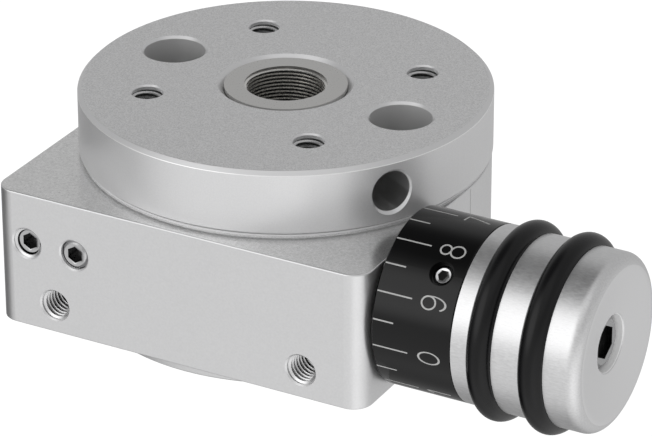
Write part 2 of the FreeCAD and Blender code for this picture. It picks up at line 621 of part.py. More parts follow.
def sleeve_grub_screws():
    """Two grub screws in the front face that clamp the sleeve."""
    screws = []
    for name, side in GRUB_PLACE.items():
        body = grub_screw(f"sleeve_grub_screw_{name}", "grub_dia", GRUB_LENGTH, "grub_key")
        place(body, side, f"(grub_{name}_recess - {FRONT})", SLEEVE_HEIGHT, (1, 0, 0), "90")
        screws.append(body)
    return group("sleeve_grub_screws", screws)


def sleeve_pad():
    """Soft pad between the second grub screw and the sleeve."""
    radius, thickness = "(grub_dia / 2 - pad_room)", "(grub_left_recess - grub_right_recess)"
    body = turned("sleeve_pad", [("0", "0"), (radius, "0"), (radius, thickness), ("0", thickness)])
    place(body, GRUB_PLACE["right"], f"(grub_right_recess + {GRUB_LENGTH} - {FRONT})", SLEEVE_HEIGHT,
          (1, 0, 0), "-90")
    return keep(body)


def worm_retainer():
    """Threaded ring that holds the outboard worm bearing in the sleeve."""
    inner, outer = f"({WORM_BEARING_RADIUS} - retainer_wall)", f"({WORM_BEARING_RADIUS} - sleeve_clearance)"
    end = f"({WORM_SEAT_END} + retainer_width)"
    body = turned("worm_retainer", [(WORM_SEAT_END, inner), (WORM_SEAT_END, outer), (end, outer), (end, inner)],
                  upright=False)
    place(body, "0", f"(-{WORM_Y})", "worm_height")
    return keep(body)


def bearings():
    """Outer and inner rings of the main bearings and of the worm bearings."""
    for name, seat in (("upper", UPPER_SEAT), ("lower", LOWER_SEAT)):
        outer_ring(f"{name}_bearing_outer", MAIN_BEARING_RADIUS, MAIN_RACE, MAIN_SHOULDER,
                   "main_bearing_width", seat)
        inner_ring(f"{name}_bearing_inner", "journal_dia / 2", MAIN_SHOULDER, "main_bearing_width", seat)
    ends = (("inboard", f"(-{WORM_SEAT_END})"), ("outboard", WORM_SEAT))
    for name, start in ends:
        outer = outer_ring(f"worm_bearing_{name}_outer", WORM_BEARING_RADIUS, WORM_RACE, WORM_SHOULDER,
                           "worm_bearing_width", start, upright=False)
        inner = inner_ring(f"worm_bearing_{name}_inner", "shaft_dia / 2", WORM_SHOULDER,
                           "worm_bearing_width", start, upright=False)
        for ring in (outer, inner):
            place(ring, "0", f"(-{WORM_Y})", "worm_height")


def table_disc():
    """Table with its centre bore, access holes, tapped holes and the bar hole in its rim."""
    recess = "(spindle_flange_dia / 2 + spindle_head_clearance)"
    body = turned("table_disc", [
        (recess, TABLE_BOTTOM), ("(table_dia / 2 - edge_break)", TABLE_BOTTOM),
        ("table_dia / 2", f"({TABLE_BOTTOM} + edge_break)"),
        ("table_dia / 2", f"({TABLE_TOP} - table_chamfer)"),
        ("(table_dia / 2 - table_chamfer)", TABLE_TOP),
        ("(table_bore_dia / 2 + table_bore_chamfer)", TABLE_TOP),
        ("table_bore_dia / 2", f"({TABLE_TOP} - table_bore_chamfer)"),
        ("table_bore_dia / 2", SPINDLE_FLANGE_TOP), (recess, SPINDLE_FLANGE_TOP)])
    doc.recompute()
    blank = body.Tip
    radius, height = number("table_dia / 2"), number(TABLE_TOP)
    corners = ((radius, height - number("table_chamfer")), (radius - number("table_chamfer"), height))
    rim = [f"Edge{i}" for i, edge in enumerate(blank.Shape.Edges, start=1)
           if edge.BoundBox.ZLength < 0.001
           and any(abs(edge.BoundBox.XMax - r) < 0.001 and abs(edge.BoundBox.ZMax - z) < 0.001
                   for r, z in corners)]
    eased = body.newObject("PartDesign::Fillet", "table_rim")
    eased.Base = (blank, rim)
    bind(eased, "Radius", "table_edge_round")
    access = upright_hole(body, "access_hole", "(hole_circle / 2)", TABLE_TOP,
                          [("(access_hole_dia / 2 + access_hole_chamfer)", TABLE_TOP),
                           ("access_hole_dia / 2", f"({TABLE_TOP} - access_hole_chamfer)"),
                           ("access_hole_dia / 2", TABLE_BOTTOM)])
    repeat_round(body, "access_holes", access, 2)
    tapped = upright_hole(body, "clamp_hole", "(hole_circle / 2)", TABLE_TOP,
                          [("(clamp_thread_dia / 2 + clamp_hole_chamfer)", TABLE_TOP),
                           ("clamp_thread_dia / 2", f"({TABLE_TOP} - clamp_hole_chamfer)"),
                           ("clamp_thread_dia / 2", TABLE_BOTTOM)],
                          turn="45")
    repeat_round(body, "clamp_holes", tapped, 4)
    height = f"({TABLE_BOTTOM} + table_thickness / 2 - rim_hole_drop)"
    start, end = "(table_dia / 2 + 0.5)", "(table_dia / 2 - rim_hole_depth)"
    bored(body, "rim_hole", "XZ_Plane",
          [(start, height), (start, f"({height} + rim_hole_dia / 2 + rim_hole_chamfer + 0.5)"),
           ("(table_dia / 2 - rim_hole_chamfer)", f"({height} + rim_hole_dia / 2)"),
           (end, f"({height} + rim_hole_dia / 2)"), (end, height)],
          ((start, height), (end, height)), turn="rim_hole_angle")
    screw = upright_hole(body, "spindle_screw_hole", SPINDLE_SCREW_PLACE, SPINDLE_FLANGE_TOP,
                         [("spindle_screw_dia / 2", SPINDLE_FLANGE_TOP),
                          ("spindle_screw_dia / 2", f"({TABLE_BOTTOM} + spindle_screw_length + 1)")])
    repeat_round(body, "spindle_screw_holes", screw, 4)
    place(body, axis=(0, 0, 1), angle="table_angle")
    return keep(body)


def spindle():
    """Hollow spindle: threaded head, flange under the table, shoulder and journal."""
    head = "(table_bore_dia / 2 - spindle_head_clearance)"
    body = turned("spindle", [
        ("(spindle_bore_dia / 2)", NUT_BOTTOM), ("journal_dia / 2", NUT_BOTTOM),
        ("journal_dia / 2", HOUSING_TOP), (MAIN_SHOULDER, HOUSING_TOP), (MAIN_SHOULDER, TABLE_BOTTOM),
        ("spindle_flange_dia / 2", TABLE_BOTTOM), ("spindle_flange_dia / 2", SPINDLE_FLANGE_TOP),
        (head, SPINDLE_FLANGE_TOP), (head, SPINDLE_TOP),
        ("spindle_thread_dia / 2", SPINDLE_TOP),
        ("spindle_thread_dia / 2", f"({SPINDLE_TOP} - spindle_thread_depth)"),
        ("spindle_bore_dia / 2",
         f"({SPINDLE_TOP} - spindle_thread_depth - spindle_thread_dia / 2 + spindle_bore_dia / 2)")])
    head_radius = "(spindle_screw_dia + 0.1)"
    screw = upright_hole(body, "spindle_countersink", SPINDLE_SCREW_PLACE, TABLE_BOTTOM,
                         [(head_radius, TABLE_BOTTOM), (head_radius, f"({TABLE_BOTTOM} + 0.1)"),
                          ("spindle_screw_dia / 2",
                           f"({TABLE_BOTTOM} + {head_radius} - spindle_screw_dia / 2 + 0.1)"),
                          ("spindle_screw_dia / 2", SPINDLE_FLANGE_TOP)])
    repeat_round(body, "spindle_countersinks", screw, 4)
    slot = new_sketch(body, "spindle_keyway_outline", "XZ_Plane")
    low = "(worm_height - key_length / 2)"
    high = "(worm_height + key_length / 2)"
    inner, outer = "(journal_dia / 2 - key_height / 2)", "(journal_dia / 2 + key_height)"
    draw_outline(slot, [(inner, low), (outer, low), (outer, high), (inner, high)])
    keyway = body.newObject("PartDesign::Pocket", "spindle_keyway")
    keyway.Profile = slot
    keyway.Midplane = True
    bind(keyway, "Length", "key_width")
    place(body, axis=(0, 0, 1), angle="table_angle")
    return keep(body)


def spindle_screws():
    """Four countersunk screws from the spindle flange up into the table."""
    screws = []
    for i in range(4):
        body = sunk_screw(f"spindle_screw_{i + 1}", "spindle_screw_dia", "spindle_screw_length",
                          "(spindle_screw_dia * 0.6)")
        angle = f"(table_angle + {90 * i})"
        place(body, f"({SPINDLE_SCREW_PLACE} * cos({angle}))", f"({SPINDLE_SCREW_PLACE} * sin({angle}))",
              f"({TABLE_BOTTOM} + 0.1)")
        screws.append(body)
    return group("spindle_screws", screws)


def worm_wheel():
    """Worm wheel: hub between the bearings and a rim of helical teeth."""
    low, high = "(worm_height - wheel_width / 2)", "(worm_height + wheel_width / 2)"
    root = f"({WHEEL_ROOT_RADIUS})"
    hub = f"({MAIN_SHOULDER} + wheel_hub_wall)"
    body = turned("worm_wheel", [
        ("journal_dia / 2", LOWER_TOP), (MAIN_SHOULDER, LOWER_TOP), (MAIN_SHOULDER, f"({LOWER_TOP} + 1)"),
        (hub, f"({LOWER_TOP} + 1)"), (hub, low), (root, low), (root, high), (MAIN_SHOULDER, high),
        (MAIN_SHOULDER, UPPER_SEAT), ("journal_dia / 2", UPPER_SEAT)])
    twist = f"(wheel_width / 2 * gear_module / worm_pitch_dia / {WHEEL_PITCH_RADIUS} * 57.29578)"
    sections = []
    for name, height, sign in (("low", low, "-"), ("high", high, "")):
        section = new_sketch(body, f"tooth_{name}", "XY_Plane")
        section.AttachmentOffset = FreeCAD.Placement(VECTOR(), FreeCAD.Rotation(VECTOR(0, 0, 1), 1.0))
        bind(section, "AttachmentOffset.Rotation.Angle", f"(-90 {'-' if sign == '-' else '+'} {twist})")
        bind(section, "AttachmentOffset.Base.z", height)
        half_root = f"({TOOTH_THICKNESS} / 2 + ({WHEEL_PITCH_RADIUS} - {root} + 0.1) * {PRESSURE_TANGENT})"
        half_tip = f"({TOOTH_THICKNESS} / 2 - ({WHEEL_TIP_RADIUS} - {WHEEL_PITCH_RADIUS}) * {PRESSURE_TANGENT})"
        draw_outline(section, [(f"({root} - 0.1)", f"(-{half_root})"), (WHEEL_TIP_RADIUS, f"(-{half_tip})"),
                               (WHEEL_TIP_RADIUS, half_tip), (f"({root} - 0.1)", half_root)])
        sections.append(section)
    tooth = body.newObject("PartDesign::AdditiveLoft", "wheel_tooth")
    tooth.Profile = sections[0]
    tooth.Sections = [sections[1]]
    tooth.Ruled = True
    repeat_round(body, "wheel_teeth_round", tooth, "wheel_teeth")
    slot = new_sketch(body, "wheel_keyway_outline", "XY_Plane", offset=LOWER_TOP)
    inner, outer = "(journal_dia / 2 - 1)", "(journal_dia / 2 + key_height / 2 + 0.1)"
    draw_outline(slot, [(inner, "(-key_width / 2)"), (outer, "(-key_width / 2)"), (outer, "key_width / 2"),
                        (inner, "key_width / 2")])
    slot.AttachmentOffset = FreeCAD.Placement(VECTOR(), FreeCAD.Rotation(VECTOR(0, 0, 1), 1.0))
    bind(slot, "AttachmentOffset.Rotation.Angle", "table_angle")
    bind(slot, "AttachmentOffset.Base.z", LOWER_TOP)
    keyway = body.newObject("PartDesign::Pocket", "wheel_keyway")
    keyway.Profile = slot
    keyway.Reversed = True
    bind(keyway, "Length", f"({UPPER_SEAT} - {LOWER_TOP})")
    return keep(body)


def wheel_key():
    """Key between spindle and wheel."""
    box = doc.addObject("Part::Box", "wheel_key")
    bind(box, "Length", "key_height")
    bind(box, "Width", "key_width")
    bind(box, "Height", "key_length")
    radius = "(journal_dia / 2 - key_height / 2)"
    place(box, f"({radius} * cos(table_angle) + key_width / 2 * sin(table_angle))",
          f"({radius} * sin(table_angle) - key_width / 2 * cos(table_angle))",
          "(worm_height - key_length / 2)", (0, 0, 1), "table_angle")
    return keep(box, "wheel_key")


def lock_nut():
    """Slotted nut that clamps the bearings and the wheel on the spindle."""
    body = turned("lock_nut", [("journal_dia / 2", NUT_BOTTOM), (f"({NUT_RADIUS} - edge_break)", NUT_BOTTOM),
                               (NUT_RADIUS, f"({NUT_BOTTOM} + edge_break)"),
                               (NUT_RADIUS, f"({LOWER_SEAT} - edge_break)"), (MAIN_SHOULDER, LOWER_SEAT),
                               ("journal_dia / 2", LOWER_SEAT)])
    sketch = new_sketch(body, "nut_slot_outline", "XY_Plane", offset=NUT_BOTTOM)
    inner, outer, half = f"({NUT_RADIUS} - lock_nut_slot / 2)", f"({NUT_RADIUS} + 1)", "(lock_nut_slot / 2)"
    draw_outline(sketch, [(inner, f"(-{half})"), (outer, f"(-{half})"), (outer, half), (inner, half)])
    slot = body.newObject("PartDesign::Pocket", "nut_slot")
    slot.Profile = sketch
    slot.Reversed = True
    bind(slot, "Length", "lock_nut_height")
    repeat_round(body, "nut_slots", slot, 4)
    return keep(body)


def worm_shaft():
    """Shaft and single start worm in one piece, threaded for the knob screw at its end."""
    core, journal = WORM_CORE, "shaft_dia / 2"
    left = f"(-{WORM_SEAT_END} - shaft_stub)"
    bore, depth = "end_screw_dia / 2", f"({HEAD_SEAT} - end_screw_length - 1)"
    body = turned("worm_shaft", [
        (left, "0"), (left, journal), (f"(-{WORM_SEAT})", journal), (f"(-{WORM_SEAT})", core),
        (WORM_SEAT, core), (WORM_SEAT, journal), (SHAFT_RIGHT, journal), (SHAFT_RIGHT, bore), (depth, bore),
        (f"({depth} - 1)", "0")], upright=False)
    reach = f"({THREAD_PITCH} * worm_turns / 2)"
    top, bottom = WORM_TIP_RADIUS, f"({core} - 0.1)"
    half_top = f"({TOOTH_THICKNESS} / 2 - ({WORM_TIP_RADIUS} - worm_pitch_dia / 2) * {PRESSURE_TANGENT})"
    half_bottom = f"({TOOTH_THICKNESS} / 2 + (worm_pitch_dia / 2 - {core} + 0.1) * {PRESSURE_TANGENT})"
    sketch = new_sketch(body, "worm_tooth_outline", "XZ_Plane")
    draw_outline(sketch, [(f"(-{reach} - {half_bottom})", bottom), (f"(-{reach} - {half_top})", top),
                          (f"(-{reach} + {half_top})", top), (f"(-{reach} + {half_bottom})", bottom)])
    thread = body.newObject("PartDesign::AdditiveHelix", "worm_thread")
    thread.Profile = sketch
    thread.ReferenceAxis = (sketch, ["H_Axis"])
    thread.Mode = "pitch-turns-angle"
    bind(thread, "Pitch", THREAD_PITCH)
    bind(thread, "Turns", "worm_turns")
    place(body, "0", f"(-{WORM_Y})", "worm_height")
    return keep(body)


def knob():
    """Knob with a hub for the scale ring, two ring grooves, a rounded rim and a hollowed end."""
    groove, outer = "cord_ring_dia / 2", "knob_dia / 2"
    screw_gap = "(end_screw_dia / 2 + end_screw_room)"
    points = [(WORM_SEAT_END, "shaft_dia / 2"), (WORM_SEAT_END, WORM_SHOULDER), (HUB_LEFT, WORM_SHOULDER),
              (HUB_LEFT, "hub_dia / 2"), (KNOB_LEFT, "hub_dia / 2"), (KNOB_LEFT, outer)]
    for middle in ("groove_one", "groove_two"):
        left = f"({KNOB_LEFT} + {middle} - {groove})"
        right = f"({KNOB_LEFT} + {middle} + {groove})"
        points += [(left, outer), (left, GROOVE_RADIUS), (right, GROOVE_RADIUS), (right, outer)]
    points += [(KNOB_RIGHT, outer), (KNOB_MOUTH, f"({END_HOLE_RADIUS} + end_hole_chamfer)"),
               (f"({KNOB_MOUTH} - end_hole_chamfer)", END_HOLE_RADIUS), (HEAD_SEAT, END_HOLE_RADIUS),
               (HEAD_SEAT, screw_gap), (SHAFT_RIGHT, screw_gap), (SHAFT_RIGHT, "shaft_dia / 2")]
    body = turned("knob", points, upright=False)
    doc.recompute()
    radius, far = number(outer), number(KNOB_RIGHT)
    turned_blank = body.Tip
    rim = [f"Edge{i}" for i, edge in enumerate(turned_blank.Shape.Edges, start=1)
           if abs(edge.BoundBox.XMin - far) < 0.001 and abs(edge.BoundBox.ZMax - radius) < 0.001
           and edge.BoundBox.XLength < 0.001]
    rounded = body.newObject("PartDesign::Fillet", "knob_rim")
    rounded.Base = (turned_blank, rim)
    bind(rounded, "Radius", "knob_round")
    place_x = f"({HUB_LEFT} + hub_screw_place)"
    upright_hole(body, "hub_screw_hole", place_x, "(hub_dia / 2)",
                 [("hub_screw_dia / 2", "(hub_dia / 2)"), ("hub_screw_dia / 2", "0")])
    place(body, "0", f"(-{WORM_Y})", "worm_height")
    return keep(body)


def hub_set_screw():
    """Set screw through the hub on to the shaft."""
    body = grub_screw("hub_set_screw", "hub_screw_dia", HUB_SCREW_LENGTH, "hub_screw_key")
    place(body, f"({HUB_LEFT} + hub_screw_place)", f"(-{WORM_Y})",
          "(worm_height + hub_dia / 2 - hub_screw_recess)")
    return keep(body)


def rubber_rings():
    """Two round section rubber rings that give the knob its grip."""
    for name, middle in (("inboard", "groove_one"), ("outboard", "groove_two")):
        ring = doc.addObject("Part::Torus", f"rubber_ring_{name}")
        bind(ring, "Radius1", f"({GROOVE_RADIUS} + cord_ring_dia / 2)")
        bind(ring, "Radius2", "cord_ring_dia / 2")
        place(ring, f"({KNOB_LEFT} + {middle})", f"(-{WORM_Y})", "worm_height", (0, 1, 0), "90")
        keep(ring, f"rubber_ring_{name}")


def knob_screw():
    """Socket head screw in the knob end."""
    top = f"({KNOB_MOUTH} - end_screw_recess)"
    head, shank = "end_screw_head_dia / 2", "end_screw_dia / 2"
    body = turned("knob_screw", [("0", f"({HEAD_SEAT} - end_screw_length)"),
                                 (shank, f"({HEAD_SEAT} - end_screw_length)"), (shank, HEAD_SEAT),
                                 (head, HEAD_SEAT), (head, f"({top} - edge_break)"),
                                 (f"({head} - edge_break)", top), ("0", top)])
    socket(body, "knob_screw_socket", "end_screw_key", top, "(end_screw_dia / 2)")
    place(body, "0", f"(-{WORM_Y})", "worm_height", (0, 1, 0), "90")
    return keep(body)


def scale_ring():
    """Scale ring that turns on the hub and carries one clamping screw."""
    bore, outer = "(hub_dia / 2 + hub_clearance)", "knob_dia / 2"
    body = turned("scale_ring", [
        (RING_LEFT, bore), (RING_LEFT, f"({outer} - scale_chamfer)"), (f"({RING_LEFT} + scale_chamfer)", outer),
        (f"({RING_RIGHT} - scale_chamfer / 3)", outer), (RING_RIGHT, f"({outer} - scale_chamfer / 3)"),
        (RING_RIGHT, bore)], upright=False)
    middle = f"({RING_LEFT} + scale_screw_place)"
    mouth = "(scale_screw_dia / 2 + scale_screw_room)"
    upright_hole(body, "scale_screw_hole", middle, f"({outer} + 0.5)",
                 [(mouth, f"({outer} + 0.5)"), (mouth, SCALE_SCREW_START),
                  ("scale_screw_dia / 2", SCALE_SCREW_START), ("scale_screw_dia / 2", "(hub_dia / 4)")])
    place(body, "0", f"(-{WORM_Y})", "worm_height", (1, 0, 0), "(90 - scale_screw_angle)")
    return keep(body)


def scale_grub_screw():
    """Grub screw that clamps the scale ring."""
    body = grub_screw("scale_grub_screw", "scale_screw_dia", SCALE_SCREW_LENGTH, "scale_screw_key")
    place(body, f"({RING_LEFT} + scale_screw_place)",
          f"(-{WORM_Y} - {SCALE_SCREW_START} * cos(scale_screw_angle))",
          f"(worm_height + {SCALE_SCREW_START} * sin(scale_screw_angle))", (1, 0, 0),
          "(90 - scale_screw_angle)")
    return keep(body)


def scale_pad():
    """Soft pad between that grub screw and the hub."""
    inner = "(scale_screw_dia / 2 - pad_room / 2)"
    body = turned("scale_pad", [("0", "0"), (inner, "0"), (inner, "(-scale_pad_thickness)"),
                                ("0", "(-scale_pad_thickness)")])
    radius = "(hub_dia / 2 + hub_clearance + scale_pad_thickness)"
    place(body, f"({RING_LEFT} + scale_screw_place)",
          f"(-{WORM_Y} - {radius} * cos(scale_screw_angle))",
          f"(worm_height + {radius} * sin(scale_screw_angle))", (1, 0, 0), "(90 - scale_screw_angle)")
    return keep(body)


def check_and_write():
    """Stop on any failed object or shape, then write each sub-part to its own file."""
    doc.recompute()
    for item in doc.Objects:
        faults = [state for state in item.State if state in ("Invalid", "Error")]
        if faults:
            raise RuntimeError(f"{item.Name} is {faults}")
    for item in parts:
        shape = item.Shape
        if shape.isNull() or not shape.isValid() or shape.Volume <= 0:
            raise RuntimeError(f"{item.Label} has no valid shape")
    os.makedirs("parts", exist_ok=True)
    for item in parts:
        item.Shape.exportStep(f"parts/{item.Label}.step")


housing()
base_flange()
base_flange_screws()
worm_sleeve()
sleeve_grub_screws()
sleeve_pad()
worm_retainer()
bearings()
table_disc()
spindle()
spindle_screws()
worm_wheel()
wheel_key()
lock_nut()
worm_shaft()
knob()
hub_set_screw()
rubber_rings()
knob_screw()
scale_ring()
scale_grub_screw()
scale_pad()
check_and_write()
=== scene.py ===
"""Looks of the rotary positioning table: its finishes, threads, scale marks and studio."""

import json
import math

import bmesh
import bpy
from mathutils import Euler, Matrix, Vector

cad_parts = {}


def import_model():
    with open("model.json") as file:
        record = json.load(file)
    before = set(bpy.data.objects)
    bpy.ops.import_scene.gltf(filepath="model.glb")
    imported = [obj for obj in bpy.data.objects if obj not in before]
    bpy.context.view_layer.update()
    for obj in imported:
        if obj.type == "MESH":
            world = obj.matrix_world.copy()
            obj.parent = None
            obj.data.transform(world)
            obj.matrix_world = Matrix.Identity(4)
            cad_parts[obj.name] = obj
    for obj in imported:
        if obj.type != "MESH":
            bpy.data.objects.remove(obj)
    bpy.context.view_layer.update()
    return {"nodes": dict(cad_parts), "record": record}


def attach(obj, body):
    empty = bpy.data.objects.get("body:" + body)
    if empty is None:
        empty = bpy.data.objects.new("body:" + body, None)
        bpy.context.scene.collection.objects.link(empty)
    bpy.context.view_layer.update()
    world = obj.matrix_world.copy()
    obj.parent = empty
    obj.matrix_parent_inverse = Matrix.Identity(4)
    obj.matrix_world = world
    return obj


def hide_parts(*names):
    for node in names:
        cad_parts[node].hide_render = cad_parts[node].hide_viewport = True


MM = 0.001
DOWN, INWARD, LEFTWARD = (0, 0, -1), (0, 1, 0), (-1, 0, 0)

# Places on the object, in millimetres, in the CAD frame
WORM_Y = -24.0
WORM_Z = 19.5
TABLE_TOP = 44.3
TABLE_ANGLE = -6.5
HOLE_CIRCLE = 53.5
SPINDLE_TOP = 44.0
FRONT_FACE = -42.6
RIGHT_FACE = 39.8
HOUSING_TOP = 30.9
INDEX_Y = 0.4
INDEX_SINK = 0.3
FRONT_HOLES = [(-26.75, 8.7), (26.75, 8.7)]
GRUB_HOLES = [(-32.6, 20.5), (-22.1, 20.5)]
GRUB_HEADS = [-41.5, -42.3]
BAR_HOLE_ANGLE = TABLE_ANGLE - 24.7
BAR_HOLE_REACH = 39.6
BAR_HOLE_Z = 37.7
RING_RADIUS = 17.0
RING_LEFT = 40.6
RING_SCREW_X = 52.2
RING_SCREW_ANGLE = 47.1
RING_SCREW_DEPTH = 1.0
END_SCREW_X = 79.85
KNOB_END_X = 82.7

# Radii of the walls of holes and sockets, with a little room, and the depth at which a wall begins; these
# walls carry painted shade, and in the knob's end painted light
SMALL_BORE = 3.04
ACCESS_BORE = 6.04
BAR_BORE = 4.04
SPINDLE_BORE = 8.04
KNOB_BORE = 5.6
GRUB_SOCKET = 1.78
RING_SOCKET = 1.2
END_SOCKET = 3.5
WALL_START = 0.02

# Threads in holes as radius of the hole, height of the ridge and pitch
COARSE_THREAD = (3.0, 0.45, 1.0)
FINE_THREAD = (8.0, 0.4, 0.75)

# Screws that show: radius, corners of the socket, length and bevel of the grub screws; sizes of the
# end screw; and the width and depth of the dished rim of every socket
SLEEVE_GRUB = (2.96, 1.732, 8.0, 0.7)
RING_GRUB = (1.96, 1.155, 4.0, 0.5)
END_SOCKET_CORNER = 3.46
END_HEAD_FLAT, END_HEAD_RADIUS, END_THREAD_RADIUS = 4.2, 5.3, 2.96
END_SOCKET_BOTTOM, END_HEAD_BEVEL, END_HEAD_BOTTOM, END_THREAD_END = -3.0, -1.0, -5.98, -20.0
RIM_WIDTH = 0.2
RIM_DISH = 0.13

# Scale marks and index line: lengths and widths in millimetres, turn of the first mark in degrees
LINE_COUNT = 20
LINE_START, LONG_LINE, SHORT_LINE = 0.35, 7.45, 4.5
LINE_WIDTH = 0.28
MARK_HEIGHT = 0.04
MARK_TURN = -8.4
NUMBER_X = 52.4
NUMBER_SIZE = 4.8
NUMBER_WIDTH = 0.32
INDEX_START, INDEX_END = -0.1, -8.1
INDEX_WIDTH, INDEX_HEIGHT = 0.14, 0.02

# Strokes of the engraved numbers in a cell one high: circles and arcs as centre, radii and angles
NUMBER_STROKES = {
    "0": [("arc", 0.0, 0.5, 0.26, 0.44, 0, 360)],
    "1": [("line", (-0.16, 0.80), (0.06, 1.0)), ("line", (0.06, 1.0), (0.06, 0.0))],
    "2": [("arc", 0.0, 0.72, 0.27, 0.28, 170, -35), ("line", (0.22, 0.56), (-0.28, 0.0)),
          ("line", (-0.28, 0.0), (0.28, 0.0))],
    "3": [("arc", 0.0, 0.76, 0.24, 0.24, 160, -90), ("arc", 0.0, 0.26, 0.28, 0.26, 90, -160)],
    "4": [("line", (0.10, 1.0), (-0.30, 0.28)), ("line", (-0.30, 0.28), (0.30, 0.28)),
          ("line", (0.12, 0.50), (0.12, 0.0))],
    "5": [("line", (0.24, 1.0), (-0.20, 1.0)), ("line", (-0.20, 1.0), (-0.24, 0.56)),
          ("arc", -0.02, 0.31, 0.29, 0.31, 140, -150)],
    "6": [("arc", 0.0, 0.285, 0.25, 0.285, 0, 360), ("arc", 0.0, 0.45, 0.27, 0.55, 200, 40)],
    "7": [("line", (-0.26, 1.0), (0.26, 1.0)), ("line", (0.26, 1.0), (-0.08, 0.0))],
    "8": [("arc", 0.0, 0.785, 0.22, 0.215, 0, 360), ("arc", 0.0, 0.285, 0.27, 0.285, 0, 360)],
    "9": [("arc", 0.0, 0.715, 0.25, 0.285, 0, 360), ("arc", 0.0, 0.55, 0.27, 0.55, 20, -140)],
}

# Tones and surface values that more than one finish shares
ANODISED = 0.88
SLOPE_TONE, SLOPE_ROUGHNESS = (0.76, 0.76, 0.765), 0.34
EVERY_WAY, ALONG_X = (1.0, 1.0, 1.0), (0.25, 1.0, 1.0)
# Painted light: how much brighter the knob's ends are than its sides
END_PAINTED_LIGHT = 1.13
# Painted light on the lips of the shaded gap under the table
PAINTED_LIP_LIGHT = (0.86, 0.86, 0.865)

# Camera fitted to the photograph
CAMERA_PLACE = (343.43, -607.02, 362.98)
CAMERA_TURN = 28.870
CAMERA_HEIGHT = 26.513
CAMERA_ROLL = -0.096
CAMERA_LENS = 220.59

# Soft lights as patches of sky: direction by turn from -Y towards +X and by height, inner and outer
# half width in degrees, and strength
SOFT_LIGHTS = [
    (-29.0, 27.0, 12.0, 36.0, 0.98),
    (0.0, -27.0, 10.0, 75.0, 0.30),
    (100.0, -40.0, 10.0, 80.0, 0.12),
    (62.0, -27.0, 10.0, 48.0, 0.30),
    (-86.0, -22.0, 8.0, 44.0, -0.44),
    (-108.0, 62.0, 8.0, 36.0, -0.38),
    (25.0, 62.0, 10.0, 40.0, 0.25),
    (-125.0, -60.0, 10.0, 40.0, -0.22),
]
SKY_LEVEL = 0.52

# Floor: how far it lies under the object, its glow and how much of it takes shadow
FLOOR_SINK = 0.2
FLOOR_GLOW = 1.16
FLOOR_SHADE = 0.12


def finish(name):
    """A new material with its Principled shader, ready for nodes."""
    material = bpy.data.materials.new(name)
    material.use_nodes = True
    return material


def shader_of(material):
    """The Principled shader of a material."""
    return material.node_tree.nodes["Principled BSDF"]


def set_shader(material, color, metallic, roughness):
    """Plain values on the Principled shader."""
    shader = shader_of(material)
    shader.inputs["Base Color"].default_value = (*color, 1)
    shader.inputs["Metallic"].default_value = metallic
    shader.inputs["Roughness"].default_value = roughness


def add_node(tree, kind, **inputs):
    """A node with some of its inputs set by name."""
    node = tree.nodes.new(kind)
    for key, value in inputs.items():
        node.inputs[key.replace("_", " ")].default_value = value
    return node


def math_node(tree, operation, first, second=None, third=None):
    """A maths node fed by links or numbers."""
    node = tree.nodes.new("ShaderNodeMath")
    node.operation = operation
    for index, value in enumerate((first, second, third)):
        if value is None:
            continue
        if isinstance(value, (int, float)):
            node.inputs[index].default_value = value
        else:
            tree.links.new(value, node.inputs[index])
    return node.outputs[0]


def vector_node(tree, operation, first, second=None):
    """A vector node fed by links or plain vectors; gives a number for a length or a dot product."""
    node = tree.nodes.new("ShaderNodeVectorMath")
    node.operation = operation
    for index, value in enumerate((first, second)):
        if isinstance(value, tuple):
            node.inputs[index].default_value = value
        elif value is not None:
            tree.links.new(value, node.inputs[index])
    return node.outputs["Value" if operation in ("LENGTH", "DOT_PRODUCT") else "Vector"]


def new_group(name, inputs, outputs):
    """A node group with its sockets; returns the group, its input node and its output node."""
    group = bpy.data.node_groups.new(name, "ShaderNodeTree")
    for label, kind, value in inputs:
        socket = group.interface.new_socket(name=label, in_out="INPUT", socket_type=kind)
        socket.default_value = value
    for label, kind in outputs:
        group.interface.new_socket(name=label, in_out="OUTPUT", socket_type=kind)
    return group, group.nodes.new("NodeGroupInput"), group.nodes.new("NodeGroupOutput")


def make_grain_group():
    """Fine grain of blasted and anodised aluminium: a height and a slow cloud of tone."""
    group, given, result = new_group(
        "fine_grain",
        [("Grain size", "NodeSocketFloat", 0.25), ("Cloud size", "NodeSocketFloat", 8.0)],
        [("Height", "NodeSocketFloat"), ("Cloud", "NodeSocketFloat")])
    place = group.nodes.new("ShaderNodeTexCoord")
    for size, output in (("Grain size", "Height"), ("Cloud size", "Cloud")):
        noise = add_node(group, "ShaderNodeTexNoise", Detail=3.0, Roughness=0.6)
        scale = math_node(group, "DIVIDE", 1000.0, given.outputs[size])
        group.links.new(place.outputs["Object"], noise.inputs["Vector"])
        group.links.new(scale, noise.inputs["Scale"])
        group.links.new(noise.outputs["Fac"], result.inputs[output])
    return group


def make_streak_group():
    """Fine noise, drawn out into streaks along an axis whose part of Across is small."""
    group, given, result = new_group(
        "fine_streaks",
        [("Across", "NodeSocketVector", (1.0, 1.0, 1.0)), ("Width", "NodeSocketFloat", 0.2)],
        [("Height", "NodeSocketFloat")])
    place = group.nodes.new("ShaderNodeTexCoord")
    squeezed = vector_node(group, "MULTIPLY", place.outputs["Object"], given.outputs["Across"])
    noise = add_node(group, "ShaderNodeTexNoise", Detail=4.0, Roughness=0.7)
    group.links.new(squeezed, noise.inputs["Vector"])
    group.links.new(math_node(group, "DIVIDE", 1000.0, given.outputs["Width"]), noise.inputs["Scale"])
    group.links.new(noise.outputs["Fac"], result.inputs["Height"])
    return group


